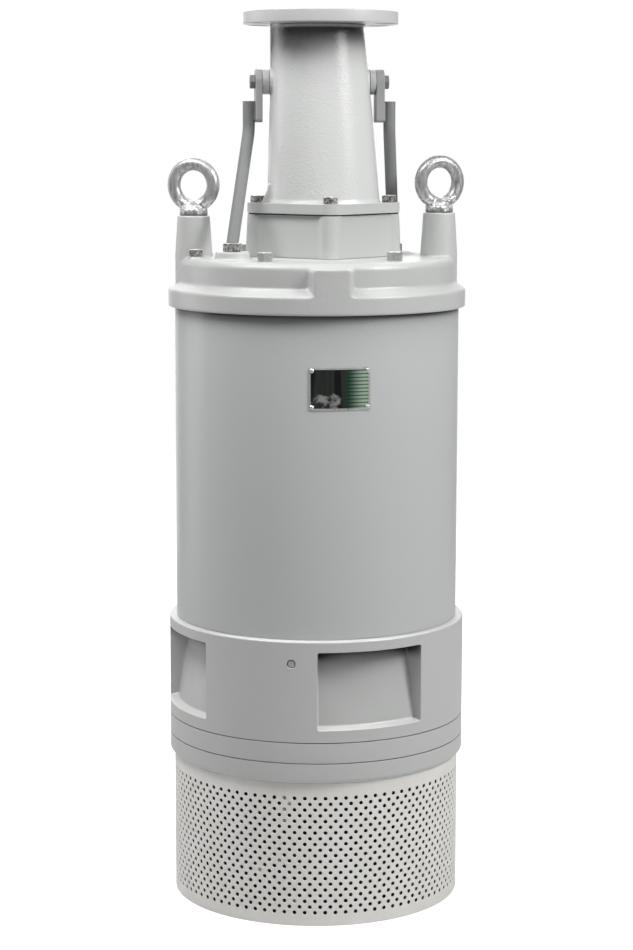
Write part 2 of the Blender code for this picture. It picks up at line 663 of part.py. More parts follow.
def build_neck():
    """The tapered casting stands on its base flange and carries the discharge flange and the stay bosses."""
    stay_up = STAY_Z - BASE_HIGH
    neck = leaning(lathe("discharge_neck", neck_profile(), NECK_STEPS))
    rim_high = FLANGE_HIGH - RAISED_FACE_H
    flange = lathe(
        "top_flange",
        [(0, FLANGE_HIGH, 0), (RAISED_FACE_R, FLANGE_HIGH, 0), (RAISED_FACE_R, rim_high, 0),
         (FLANGE_R, rim_high, FLANGE_EDGE), (FLANGE_R, FLANGE_LOW, FLANGE_EDGE), (0, FLANGE_LOW, 0)],
    )
    reach = BASE_FACE * math.sqrt(2)
    corners = [(*polar(reach, k * math.pi / 2), BASE_CORNER) for k in range(4)]
    base = plate("base_flange", rounded(corners, BASE_CORNER_STEPS), BASE_LOW - BASE_HIGH, 0)
    web = bmesh.new()
    bmesh.ops.create_cube(web, size=1.0)
    bmesh.ops.scale(web, vec=WEB_SIZE, verts=web.verts)
    web_mesh = bpy.data.meshes.new("stay_web")
    web.to_mesh(web_mesh)
    web.free()
    added = [
        add_tool(flange, (FLANGE_X - COLUMN_X, 0, -BASE_HIGH)),
        add_tool(base),
        add_tool(web_mesh, (WEB_X - COLUMN_X, 0, stay_up + WEB_UP)),
    ]
    cuts = [add_tool(leaning(disc("neck_bore", BORE_R, -2 * OVERSHOOT, NECK_H + 3 * OVERSHOOT, NECK_STEPS)))]
    for side, stay in STAYS.items():
        place = dict(at=(-COLUMN_X, 0, stay_up), turn=sideways(stay["side"]))
        boss = disc(f"boss_{side}", BOSS_R, BOSS_ROOT, stay["boss"], SMALL_STEPS)
        added.append(add_tool(boss, **place))
        face_r = BOSS_R + BOSS_FACE_MARGIN
        face = disc(f"boss_face_{side}", face_r, stay["boss"], stay["boss"] + OVERSHOOT, SMALL_STEPS)
        cuts.append(add_tool(face, **place))
    for k in range(FLANGE_HOLES):
        x, y = polar(FLANGE_PCD_R, (k + 0.5) * math.tau / FLANGE_HOLES)
        hole = disc("flange_hole", FLANGE_HOLE_R, FLANGE_LOW - OVERSHOOT, FLANGE_HIGH + OVERSHOOT, HOLE_STEPS)
        cuts.append(add_tool(hole, (FLANGE_X - COLUMN_X + x, y, -BASE_HIGH)))
    neck = combine(combine(neck, added, "UNION"), cuts, "DIFFERENCE")
    add_part("discharge_neck", neck, "cast_paint", (COLUMN_X, 0, BASE_HIGH))


def stay_plate_outline():
    """Square at its lower end and round about the bolt at its upper end; Y and Z in the pump's frame."""
    low = STAY_PLATE_LOW - STAY_Z
    crown = arc((0, 0), BOSS_R, 0, math.pi, STAY_PLATE_STEPS)
    return [Vector((BOSS_R, low)), *crown, Vector((-BOSS_R, low))]


def build_stays():
    head = hex_head("stay_bolt", M16_LOW)
    nut = hex_head("stay_nut", M20_NUT)
    for side, stay in STAYS.items():
        place = dict(at=(0, 0, STAY_Z), turn=sideways(stay["side"]))
        spacer = disc(f"stay_spacer_{side}", BOSS_R, stay["boss"] + GAP, stay["spacer"], SMALL_STEPS)
        add_part(f"stay_spacer_{side}", spacer, "cast_paint", **place)
        upright = plate(f"stay_plate_{side}", stay_plate_outline(), stay["spacer"] + GAP, stay["plate"])
        quarter = stay["side"] * math.pi / 2
        add_part(f"stay_plate_{side}", upright, "stay_steel", (0, 0, STAY_Z), (math.pi / 2, 0, quarter))
        bolt_x = stay["side"] * (stay["plate"] + GAP)
        add_part(f"stay_bolt_{side}", head, "bolt_steel", (bolt_x, 0, STAY_Z), place["turn"])
        nut_at = (*stay["foot"], stay["pad"] + GAP)
        add_part(f"stay_nut_{side}", nut, "bolt_steel", nut_at, (0, 0, stay["nut_turn"]))
        build_stay_rod(side, stay)


def build_stay_rod(side, stay):
    """A round bar that hangs beside the stay plate, bends outwards and ends on top of its nut."""
    top_x = stay["side"] * (stay["plate"] + GAP + ROD_R)
    nut_top = stay["pad"] + GAP + M20_NUT["washer_h"] + M20_NUT["head"]
    bend = Vector((top_x, 0, ROD_BEND))
    foot = Vector((*stay["foot"], nut_top + GAP))
    points = [
        Vector((top_x, 0, ROD_TOP)), Vector((top_x, 0, ROD_BEND + ROD_BEND_REACH)),
        bend + (foot - bend).normalized() * ROD_BEND_REACH, foot,
    ]
    curve = bpy.data.curves.new(f"stay_rod_{side}", "CURVE")
    curve.dimensions = "3D"
    curve.bevel_depth = ROD_R
    curve.bevel_resolution = 4
    curve.use_fill_caps = True
    line = curve.splines.new("POLY")
    line.points.add(len(points) - 1)
    for point, place in zip(line.points, points):
        point.co = (*place, 1)
    rod = finished_mesh(add_tool(curve))
    level = disc("rod_foot_trim", 2 * ROD_R, foot.z - OVERSHOOT, foot.z, HOLE_STEPS)
    rod = combine(rod, [add_tool(level, (*stay["foot"], 0))], "DIFFERENCE")
    add_part(f"stay_rod_{side}", rod, "stay_steel")


def build_cable_gland():
    """Flanged body with its hexagon nut; the cable's bore goes through both."""
    body = lathe(
        "cable_gland_body",
        [(GLAND_BASE_R, GLAND_BASE_H, GLAND_EDGE), (GLAND_BASE_R, 0, 0), (GLAND_BORE_R, 0, 0),
         (GLAND_BORE_R, GLAND_BODY_H, 0), (GLAND_R, GLAND_BODY_H, GLAND_EDGE), (GLAND_R, GLAND_BASE_H, 0)],
        SMALL_STEPS, closed=True,
    )
    base = GLAND_SEAT_Z + GAP
    add_part("cable_gland_body", body, "cast_paint", (0, GLAND_Y, base))
    low = base + GLAND_BODY_H + GAP
    height = GLAND_TOP - low
    bore = disc("gland_nut_bore", GLAND_BORE_R, -OVERSHOOT, height + OVERSHOOT, SMALL_STEPS)
    nut = plate("cable_gland_nut", hexagon(GLAND_NUT_CORNER_R), 0, height)
    nut = combine(nut, [add_tool(bore)], "DIFFERENCE")
    add_part("cable_gland_nut", nut, "cast_paint", (0, GLAND_Y, low))


build_strainer()
build_suction_cover()
build_diffuser()
build_pump_casing()
build_motor_sleeve()
build_nameplate()
build_top_cover()
build_bolts()
build_lifting_eyes()
build_riser()
build_gasket()
build_neck()
build_stays()
build_cable_gland()
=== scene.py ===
import random
from math import asin, atan2, ceil, cos, floor, pi, radians, sin, sqrt, tan, tau

import bmesh
import bpy
from mathutils import Matrix, Vector, noise


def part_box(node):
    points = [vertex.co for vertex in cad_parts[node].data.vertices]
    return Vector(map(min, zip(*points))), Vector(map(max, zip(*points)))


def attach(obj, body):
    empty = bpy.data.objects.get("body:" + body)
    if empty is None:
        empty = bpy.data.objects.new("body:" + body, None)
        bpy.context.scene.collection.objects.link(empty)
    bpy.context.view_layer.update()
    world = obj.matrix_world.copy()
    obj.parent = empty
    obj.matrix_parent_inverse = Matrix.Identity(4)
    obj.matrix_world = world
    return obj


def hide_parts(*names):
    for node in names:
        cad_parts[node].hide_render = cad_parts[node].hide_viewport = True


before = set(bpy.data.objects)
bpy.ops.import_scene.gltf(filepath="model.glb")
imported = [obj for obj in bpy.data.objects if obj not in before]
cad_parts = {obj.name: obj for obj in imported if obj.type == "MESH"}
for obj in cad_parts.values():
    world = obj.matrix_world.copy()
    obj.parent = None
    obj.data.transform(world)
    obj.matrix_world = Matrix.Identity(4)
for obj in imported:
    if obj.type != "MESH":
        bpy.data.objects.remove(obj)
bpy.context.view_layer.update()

# The photograph's camera: its place round the pump's axis, its tilt and its lens for a 36 mm long side
CAMERA_DISTANCE = 4.353
CAMERA_HEIGHT = 1.413
CAMERA_AZIMUTH = radians(-5.7)
CAMERA_PITCH = radians(8.295)
CAMERA_ROLL = radians(0.107)
CAMERA_LENS = 89.89

# Resolution of round shapes, the distance below which points are one, and the gap between pieces that touch
ROUND_STEPS = 240
SMALL_STEPS = 64
ARC_STEP = radians(12)
WELD = 0.00001
GAP = 0.0003
# The angles beyond which an edge looks sharp, and the most triangles of a large casting
SOFT_ANGLE = radians(35)
CAST_ANGLE = radians(60)
CAST_TRIANGLES = 190000
# How far a cutter reaches past what it cuts
THROUGH = 0.02
ORIGIN = (0, 0, 0)


def span(node):
    low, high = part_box(node)
    return low.z, high.z


def outer_radius(node):
    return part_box(node)[1].x


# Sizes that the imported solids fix
STRAINER_HIGH = span("strainer_shell")[1]
STRAINER_R = outer_radius("strainer_shell")
SUCTION_HIGH = span("suction_cover")[1]
DIFFUSER_LOW, DIFFUSER_HIGH = span("diffuser_ring")
CASING_LOW, CASING_HIGH = span("pump_casing")
CASING_R = outer_radius("pump_casing")
SLEEVE_LOW, SLEEVE_HIGH = span("motor_sleeve")
SLEEVE_R = outer_radius("motor_sleeve")
PLATE_LOW, PLATE_HIGH = span("nameplate")
COVER_LOW = span("top_cover")[0]
RIM_R = outer_radius("top_cover")
RISER_LOW, RISER_HIGH = span("discharge_riser")
GASKET_LOW, GASKET_HIGH = span("discharge_gasket")
NECK_LOW, FLANGE_HIGH = span("discharge_neck")

# Strainer sheet, its holes and the shroud inside
SHEET = 0.003
SHEET_LOW = 0.0012
SHEET_METALLIC = 0.05
HOLE_R = 0.0035
HOLE_CHAMFER = 0.0007
HOLE_SIDES = 12
HOLE_ROWS = 21
HOLES_ROUND = 90
HOLE_PITCH_Z = 0.01052
FIRST_ROW_Z = 0.0248
# Silted holes that face the photograph: row and azimuth in degrees
SEEN_SILT = [(20, -18), (18, -18), (16, -18), (19, -16), (9, -20), (2, -14), (7, -28)]
HIDDEN_SILT = 12
SHROUD_R = 0.228
SHROUD_MOUTH_R = 0.1454
SHROUD_LOW = 0.045
SHROUD_HIGH = 0.2505
SHROUD_WALL = 0.012

# Suction cover, joints and casing
FOOT_CHAMFER = 0.008
SPIGOT = 0.012
# The inlet under the suction cover: radius and depth below its foot
INLET_MOUTH = [(0.145, SPIGOT), (0.115, 0.060), (0.095, 0.060), (0.081, 0.020)]
JOINT_SLOT = 0.0006
JOINT_DEPTH = 0.004
EDGE_ROUND = 0.0005
POCKET_AZ = radians(16.3)
POCKET_ARC = radians(43.0)
POCKET_LOW = 0.361
POCKET_HIGH = 0.5015
POCKET_R_LOW = 0.257
POCKET_R_HIGH = 0.234
POCKET_CORNER = 0.0035
POCKET_RIM = 0.0009
POCKET_SILL = 0.004
CASING_CORE_R = 0.215
PLUG_AZ = radians(-15.0)
PLUG_Z = 0.481
PLUG_R = 0.0062
PLUG_BODY_R = 0.0074
PLUG_HOLE_R = 0.0077

# Nameplate
PLATE_AZ = radians(3.3)
PLATE_W = 0.110
PLATE_FRAME = 0.0038
PLATE_RISE = 0.0012
RIVET_INSET = 0.0055

# Cover, its tabs, bosses and bolts
COLUMN_X = 0.012
RIM_TOP = 1.1255
LEDGE_R = 0.2505
LEDGE_Z = 1.138
DOME_R = 0.251
SEAT_R = 0.150
SEAT_Z = 1.1835
CROWN_Z = 1.1828
WELL_LOW = 1.1435
TAB_W = 0.063
TAB_ROOT_W = 0.078
TAB_ROOT_R = 0.20
TAB_HIGH = 1.1735
TAB_SHOULDER = 0.0065
TAB_FILLET = 0.009
PEDESTAL_X = 0.225
PEDESTAL_TOPS = {-1: 1.2575, 1: 1.2625}
PEDESTAL_FOOT_Z = 1.187
PEDESTAL_ROOT_Z = 1.120
BOSS_ROOT_Z = 1.16
COVER_BOLT_R = 0.199
COVER_BOLT_AZ = [radians(a) for a in (-33, 38, 147, -142)]
COVER_BOLT_TURNS = [radians(a) for a in (44, 24, 10, 50)]
SPOT_FACE_R = 0.0268
EDGE_BOLT_R = 0.230
EDGE_BOLT_AZ = [radians(a) for a in (-76.7, 103.3)]
EDGE_BOSS_R = 0.0155
EDGE_BOSS_Z = 1.1860
LOBE_BOLT_R = 0.120
NECK_BOLT_TURNS = [radians(a) for a in (0, 0, 0, 30)]
# Stay pads: x, y and top
STAY_FEET = {-1: (-0.160, -0.085, 1.1960), 1: (0.150, 0.070, 1.1880)}
# Radii of pads and pedestals at their tops and feet
PAD_RADII = {-1: (0.030, 0.032), 1: (0.030, 0.043)}
PEDESTAL_RADII = (0.0293, 0.0340)
COVER_VOXEL = 0.0016

# Hexagon heads and nuts: width across flats and washer radius
HEAD = (0.024, 0.0116)
NUT = (0.030, 0.0146)
HEAD_SLOPE = radians(28)

# Lifting eyes
EYE_RING_R = 0.0377
EYE_BAR_R = 0.0118
EYE_CENTRE = 0.0548
COLLAR_R = 0.0255
COLLAR_HIGH = 0.0120
EYE_VOXEL = 0.0011
EYE_TURNS = {-1: radians(-23), 1: radians(19)}
EYE_SMOOTH_FROM = 0.023

# Riser block and gasket
RISER_FACE = 0.098
RISER_LOBE_R = 0.0190
RISER_TAPER = 0.0040
LOBE_FILLET = 0.022
GASKET_INSET = 0.0015
GASKET_WANDER = 0.0016

# Neck
BASE_HIGH = 1.2812
BASE_CORNER_R = 0.106 * sqrt(2)
BASE_ROUND = 0.025
BASE_PITS = [(0.0740, -0.0060), (0.0675, -0.0050)]
FLANGE_LOW = 1.600
NECK_HEIGHT = FLANGE_LOW - BASE_HIGH
NECK_LEAN = -0.032
NECK_R_LOW = 0.1022
NECK_R_HIGH = 0.0812
NECK_BELLY = 0.0015
NECK_VOXEL = 0.0015
BORE_R = 0.075
SEAM_R = 0.0009
GUSSET_REACH = 0.013
GUSSET_HIGH = 0.033
FLANGE_X = 0.0062
FLANGE_R = 0.140
FLANGE_FACE_R = 0.106
FLANGE_FACE = 0.002
FLANGE_BOLT_R = 0.120
FLANGE_BOLTS = 8
FLANGE_HOLE_R = 0.0115
FLANGE_SPOT_R = 0.0185

# Stays: a side's name, then how far out its boss, its washer and its plate end
STAYS = {-1: ("left", 0.0880, 0.1005, 0.1130), 1: ("right", 0.0945, 0.1055, 0.1208)}
STAY_Z = 1.4975
STAY_R = 0.0225
# The rib between the left boss and the neck: its size, its place across and its rise over the stay
WEB_SIZE = (0.030, 0.012, 0.118)
WEB_X = -0.0705
WEB_RISE = 0.047
STRAP_LOW = 1.4250
ROD_R = 0.011
ROD_TOP = 1.463
ROD_STRAIGHT = 1.4292
BEND_TOP = 1.422
BEND_Z = 1.410
BEND_REACH = 0.012
NUT_TOP = 0.0156
BEAD_R = 0.0028
BEAD_Y = 0.0062
BEAD_LOW, BEAD_HIGH = 1.4275, 1.4605

# Cable gland
GLAND_Y = 0.193
GLAND_SEAT_R = 0.040
GLAND_SEAT_Z = 1.1862
GLAND_R = 0.034
GLAND_NECK_R = 0.024
GLAND_BORE_R = 0.013
GLAND_FOOT = 0.012
GLAND_HIGH = 0.030
GLAND_NUT_R = 0.0254
GLAND_TOP_Z = 1.238

# Studio
FLOOR_R = 6.0
FLOOR_BOUNCE = 0.17
ROOM_FRONT = 0.0
ROOM_BACK = 0.291
LIGHT_CENTRE = 0.9
# Softboxes: azimuth, elevation, distance, width and height, watts
STUDIO_LIGHTS = [
    ("right_key", 55, 35, 3.2, (1.0, 1.5), 75.5),
    ("left_high", -75, 55, 3.0, (1.2, 1.2), 48.9),
    ("front_left", -40, 60, 3.0, (1.2, 1.2), 24.4),
    ("front_top", 0, 60, 3.0, (1.2, 1.2), 15.6),
    ("right_high", 75, 55, 3.0, (1.2, 1.2), 2.0),
    ("back_high", 180, 40, 3.2, (2.5, 1.5), 24.4),
    ("back_panel", 180, 4, 3.2, (3.0, 3.0), 26),
    ("left_back", -120, 5, 3.0, (1.2, 2.4), 6.7),
    ("left_edge", -110, 20, 3.0, (0.5, 2.4), 4.4),
]


def new_object(name, data, at=ORIGIN, turn=ORIGIN):
    made = bpy.data.objects.new(name, data)
    bpy.context.scene.collection.objects.link(made)
    made.location = at
    made.rotation_euler = turn
    return made


def remove(*things):
    for thing in things:
        bpy.data.objects.remove(thing, do_unlink=True)


def applied(obj):
    """The object's mesh in world space with its modifiers applied. The object is removed."""
    bpy.context.view_layer.update()
    graph = bpy.context.evaluated_depsgraph_get()
    mesh = bpy.data.meshes.new_from_object(obj.evaluated_get(graph))
    mesh.transform(obj.matrix_world)
    mesh.name = obj.name
    remove(obj)
    return mesh


def edit(mesh=None):
    """A BMesh to work in, empty or filled from a mesh."""
    work = bmesh.new()
    if mesh:
        work.from_mesh(mesh)
    return work


def stored(work, mesh):
    """Writes the BMesh to a mesh, or to a new one of that name, and frees it."""
    if isinstance(mesh, str):
        mesh = bpy.data.meshes.new(mesh)
    work.to_mesh(mesh)
    work.free()
    return mesh


def welded(mesh):
    work = edit(mesh)
    bmesh.ops.remove_doubles(work, verts=work.verts, dist=WELD)
    bmesh.ops.recalc_face_normals(work, faces=work.faces)
    return stored(work, mesh)


def placed(part):
    """The mesh, place and turn of a part, which is a mesh, (mesh, place) or (mesh, place, turn)."""
    given = part if isinstance(part, tuple) else (part,)
    return (*given, ORIGIN, ORIGIN)[:3]


def combine(mesh, parts, operation="DIFFERENCE"):
    """The mesh after an exact Boolean with each part."""
    base = new_object(mesh.name, mesh)
    cutters = []
    for tool, at, turn in map(placed, parts):
        cutter = new_object(tool.name, tool, at, turn)
        step = base.modifiers.new(tool.name, "BOOLEAN")
        step.operation = operation
        step.object = cutter
        cutters.append(cutter)
    result = applied(base)
    remove(*cutters)
    return welded(result)


def together(name, parts):
    """Several parts as one mesh of overlapping shells."""
    work = edit()
    for mesh, at, turn in map(placed, parts):
        spin = Matrix.Identity(4)
        for angle, axis in zip(turn, "XYZ"):
            spin = Matrix.Rotation(angle, 4, axis) @ spin
        copy = mesh.copy()
        copy.transform(Matrix.Translation(at) @ spin)
        work.from_mesh(copy)
        bpy.data.meshes.remove(copy)
    return stored(work, name)


def polar(radius, azimuth):
    """Azimuth 0 is the front (-Y) and grows towards +X."""
    return radius * sin(azimuth), -radius * cos(azimuth)


def rounded(points, closed=True):
    """An outline of corners (x, y) or (x, y, radius), whose radii become arcs."""
    points = [(*point, 0)[:3] for point in points]
    out = []
    for i, (x, y, radius) in enumerate(points):
        here = Vector((x, y))
        if not radius or (not closed and i in (0, len(points) - 1)):
            out.append(here)
            continue
        before = (Vector(points[i - 1][:2]) - here).normalized()
        after = (Vector(points[(i + 1) % len(points)][:2]) - here).normalized()
        half = before.angle(after) / 2
        centre = here + (before + after).normalized() * (radius / sin(half))
        start = here + before * (radius / tan(half)) - centre
        sweep = start.angle_signed(here + after * (radius / tan(half)) - centre)
        steps = max(2, ceil(abs(sweep) / ARC_STEP))
        out += [centre + Matrix.Rotation(-sweep * k / steps, 2) @ start for k in range(steps + 1)]
    return out


def arc(centre, radius, start, end, steps):
    angles = [start + (end - start) * k / steps for k in range(steps + 1)]
    return [Vector((centre[0] + radius * cos(a), centre[1] + radius * sin(a))) for a in angles]


def lathe(name, profile, steps=ROUND_STEPS, closed=False):
    """Turns a profile of (radius, z) or (radius, z, corner radius) about Z. It runs down the outer side."""
    points = rounded(profile, closed)
    edges = [(i, i + 1) for i in range(len(points) - 1)]
    if closed:
        edges.append((len(points) - 1, 0))
    mesh = bpy.data.meshes.new(name)
    mesh.from_pydata([(p.x, 0.0, p.y) for p in points], edges, [])
    work = new_object(name, mesh)
    turn = work.modifiers.new("turn", "SCREW")
    turn.steps = turn.render_steps = steps
    turn.use_merge_vertices = True
    turn.merge_threshold = WELD
    return welded(applied(work))


def bevel(work, edges, offset, segments=3):
    bmesh.ops.bevel(work, geom=edges, offset=offset, segments=segments, profile=0.5, affect="EDGES")


def plate(name, outline, low, high, edge=0.0):
    """A flat outline with its thickness from low to high and rounded rims."""
    work = edit()
    face = work.faces.new([work.verts.new((*point, low)) for point in outline])
    lifted = bmesh.ops.extrude_face_region(work, geom=[face])["geom"]
    for v in lifted:
        if isinstance(v, bmesh.types.BMVert):
            v.co.z = high
    bmesh.ops.recalc_face_normals(work, faces=work.faces)
    if edge:
        bevel(work, [e for e in work.edges if abs(e.verts[0].co.z - e.verts[1].co.z) < 1e-6], edge)
    return stored(work, name)


def block(name, size):
    work = edit()
    bmesh.ops.create_cube(work, size=1.0)
    bmesh.ops.scale(work, vec=size, verts=work.verts)
    return stored(work, name)


def disc(name, radius, low, high, edge=0.0, low_edge=0.0, steps=SMALL_STEPS):
    return lathe(name, [(0, high), (radius, high, edge), (radius, low, low_edge), (0, low)], steps)


def bore(name, radius, low, high, steps=SMALL_STEPS):
    """A round cutter that reaches past both ends of what it bores."""
    return disc(name, radius, low - THROUGH, high + THROUGH, steps=steps)


def tube(name, points, radius, resolution):
    """A round bar along points (x, y, z)."""
    curve = bpy.data.curves.new(name, "CURVE")
    curve.dimensions = "3D"
    curve.bevel_depth = radius
    curve.bevel_resolution = resolution
    curve.use_fill_caps = True
    line = curve.splines.new("POLY")
    line.points.add(len(points) - 1)
    for point, place in zip(line.points, points):
        point.co = (*place, 1)
    return welded(applied(new_object(name, curve)))


def bridge(work, a, b):
    """A band of faces between two rings of vertices."""
    for k in range(len(a)):
        after = (k + 1) % len(a)
        work.faces.new((a[k], a[after], b[after], b[k]))


def cast(name, parts, voxel, relax, budget):
    """One skin over overlapping shells, with the small soft fillets of a sand casting."""
    work = new_object(name, together(name, parts))
    skin = work.modifiers.new("skin", "REMESH")
    skin.mode = "VOXEL"
    skin.voxel_size = voxel
    calm = work.modifiers.new("calm", "SMOOTH")
    calm.factor = 0.5
    calm.iterations = relax
    result = applied(work)
    triangles = 2 * len(result.polygons)
    if triangles > budget:
        work = new_object(name, result)
        thin = work.modifiers.new("thin", "DECIMATE")
        thin.ratio = budget / triangles
        result = applied(work)
    return result


def wrap(mesh, radius):
    """Bends a flat sheet of (arc length, radius, z) round the axis, after slicing it into narrow columns."""
    work = edit(mesh)
    column = tau * radius / ROUND_STEPS
    low = min(v.co.x for v in work.verts)
    high = max(v.co.x for v in work.verts)
    for k in range(ceil(low / column), floor(high / column) + 1):
        parts = work.verts[:] + work.edges[:] + work.faces[:]
        bmesh.ops.bisect_plane(work, geom=parts, dist=1e-6, plane_co=(k * column, 0, 0), plane_no=(1, 0, 0))
    for v in work.verts:
        v.co.xy = polar(v.co.y, v.co.x / radius)
    return welded(stored(work, mesh))


def add_piece(name, mesh, finish, nodes=(), at=ORIGIN, turn=ORIGIN, soft=SOFT_ANGLE, even=False):
    """A visible piece on the pump, with its material and the solids that it stands for."""
    if not mesh.materials:
        mesh.materials.append(finish)
        mesh.shade_smooth()
        mesh.set_sharp_from_angle(angle=soft)
    piece = new_object(name, mesh, at, turn)
    if even:
        piece.modifiers.new("even", "WEIGHTED_NORMAL").keep_sharp = True
    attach(piece, "root")
    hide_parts(*nodes)


class Nodes:
    """A node tree. Each input of a node is a number, a colour, a grey or another node's output."""

    def __init__(self, tree, place):
        self.tree = tree
        self.place = self.add("ShaderNodeTexCoord").outputs[place]

    def add(self, kind, inputs=None, **settings):
        made = self.tree.nodes.new(kind)
        for key, value in settings.items():
            setattr(made, key, value)
        for key, value in (inputs or {}).items():
            self.feed(made.inputs[key], value)
        return made

    def feed(self, socket, value):
        if isinstance(value, bpy.types.NodeSocket):
            self.tree.links.new(value, socket)
        elif socket.type == "RGBA":
            colour = value if isinstance(value, tuple) else (value, value, value)
            socket.default_value = (*colour, 1.0)
        else:
            socket.default_value = value

    def split(self):
        return self.add("ShaderNodeSeparateXYZ", {"Vector": self.place}).outputs

    def ranged(self, value, low, high, out_low=0.0, out_high=1.0):
        inputs = {"Value": value, "From Min": low, "From Max": high, "To Min": out_low, "To Max": out_high}
        return self.add("ShaderNodeMapRange", inputs, interpolation_type="SMOOTHSTEP").outputs["Result"]


class Finish(Nodes):
    """A node material, whose patterns lie in the space of its piece."""

    def __init__(self, name, colour, roughness, metallic=0.0):
        self.material = bpy.data.materials.new(name)
        self.material.use_nodes = True
        super().__init__(self.material.node_tree, "Object")
        self.shader = self.tree.nodes["Principled BSDF"]
        self.set({"Base Color": colour, "Roughness": roughness, "Metallic": metallic})

    def set(self, inputs):
        for key, value in inputs.items():
            self.feed(self.shader.inputs[key], value)
        return self

    def stretched(self, *scale):
        return self.add("ShaderNodeMapping", {"Vector": self.place, "Scale": scale}).outputs["Vector"]

    def noise(self, scale, detail=2.0, rough=0.5, place=None):
        inputs = {"Vector": place or self.place, "Scale": scale, "Detail": detail, "Roughness": rough}
        return self.add("ShaderNodeTexNoise", inputs).outputs["Fac"]

    def cells(self, scale):
        return self.add("ShaderNodeTexVoronoi", {"Vector": self.place, "Scale": scale}).outputs["Distance"]

    def times(self, a, b):
        return self.add("ShaderNodeMath", {0: a, 1: b}, operation="MULTIPLY").outputs[0]

    def opposite(self, value):
        """1 less a value."""
        return self.add("ShaderNodeMath", {0: 1.0, 1: value}, operation="SUBTRACT").outputs[0]

    def mixed(self, factor, a, b):
        return self.add("ShaderNodeMix", {0: factor, 6: a, 7: b}, data_type="RGBA").outputs[2]

    def crevices(self, reach):
        """1 in the open and lower where surfaces face each other closely."""
        return self.add("ShaderNodeAmbientOcclusion", {"Distance": reach}, samples=8).outputs["AO"]

    def level(self):
        """How far a surface faces up: 1 on a level top."""
        facing = self.add("ShaderNodeNewGeometry").outputs["Normal"]
        return self.add("ShaderNodeSeparateXYZ", {"Vector": facing}).outputs["Z"]

    def bumps(self, *layers):
        """Bump layers of (height, depth in metres)."""
        normal = None
        for height, depth in layers:
            step = self.add("ShaderNodeBump", {"Height": height, "Strength": 1.0, "Distance": depth})
            if normal:
                self.feed(step.inputs["Normal"], normal)
            normal = step.outputs["Normal"]
        return self.set({"Normal": normal, "Coat Normal": normal})


def toned(colour, factor):
    return tuple(factor * c for c in colour)


def painted_corner_shade(made, reach, strength, low, high, left=-1.0):
    """Painted shade in deep corners, darkest where little light gets in, as under the rim, under the neck's
    flange and in the pockets' tops. It fades in between two heights and ends at a left side.
    """
    split = made.split()
    corner = made.times(made.opposite(made.crevices(reach)), 2.0 * strength)
    corner = made.times(corner, made.ranged(split["Z"], low, high))
    return made.times(corner, made.ranged(split["X"], left, left + 0.010))


def enamel(name, colour, roughness, grain, grain_depth, wave_depth, flatten=1.0, shade=None, coat=0.25,
           crevice_shade=0.65, level_highlight=0.0):
    """Satin grey enamel with dust specks, painted shade in the crevices and a fine grain, flattened in
    height.

    Shade sets the painted shade in deep corners, the crevice argument the painted shade in narrow crevices,
    and the last argument how far level faces are painted paler, as a painted highlight.
    """
    made = Finish(name, colour, roughness)
    clouds = made.noise(2.2, 2.0, 0.5)
    specks = made.noise(420.0, 2.0, 0.7)
    tone = made.mixed(made.ranged(clouds, 0.3, 0.7), toned(colour, 0.985), colour)
    tone = made.mixed(made.ranged(specks, 0.66, 0.80, 0.0, 0.2), tone, toned(colour, 0.72))
    if shade:
        # Painted shade: deep corners darkened almost to black
        tone = made.mixed(painted_corner_shade(made, *shade), tone, toned(colour, 0.06))
    # Painted shade: narrow crevices darkened
    tone = made.mixed(made.ranged(made.crevices(0.006), 0.25, 0.85, crevice_shade, 0.0), tone, toned(colour, 0.30))
    # Painted highlight: faces that look up are made paler, as if lit from above
    tone = made.mixed(made.ranged(made.level(), 0.25, 0.70, 0.0, level_highlight), tone, (0.72, 0.72, 0.715))
    made.set({"Base Color": tone, "Specular IOR Level": 0.25 + coat})
    made.set({"Coat Weight": coat, "Coat Roughness": 0.22})
    fine = made.noise(grain, 3.0, 0.6, made.stretched(1.0, 1.0, flatten))
    return made.bumps((made.noise(60.0, 2.0), wave_depth), (fine, grain_depth)).material


def bolt_finish(name, colour, roughness, speckle):
    """Worn hexagon heads: dark speckles and streaks down the flats, and a painted highlight on their crowns.
    """
    made = Finish(name, colour, roughness, 0.35)
    seed = made.add("ShaderNodeObjectInfo").outputs["Random"]
    inputs = {0: made.stretched(1.0, 1.0, 0.7), 1: seed}
    offset = made.add("ShaderNodeVectorMath", inputs, operation="ADD").outputs[0]
    spots = made.noise(260.0, 3.0, 0.7, offset)
    light = tuple(min(1.0, c) for c in toned(colour, 2.6))
    tone = made.mixed(made.ranged(spots, 0.48, 0.60, 0.0, speckle), colour, light)
    tone = made.mixed(made.ranged(spots, 0.38, 0.48, speckle, 0.0), tone, toned(colour, 0.18))
    # Painted highlight: the faces that look up are made near white
    tone = made.mixed(made.ranged(made.level(), 0.35, 0.6), tone, (0.86, 0.86, 0.85))
    return made.set({"Base Color": tone}).bumps((spots, 0.0002)).material


def steel_finish(name, colour, roughness, metallic, grain_depth):
    made = Finish(name, colour, roughness, metallic)
    streaks = made.noise(40.0, 4.0, 0.6, made.stretched(1.0, 1.0, 0.12))
    tone = made.mixed(made.ranged(streaks, 0.35, 0.7), toned(colour, 0.85), colour)
    rough = made.ranged(streaks, 0.3, 0.7, roughness - 0.06, roughness + 0.1)
    made.set({"Base Color": tone, "Roughness": rough})
    return made.bumps((made.noise(500.0, 2.0), grain_depth)).material


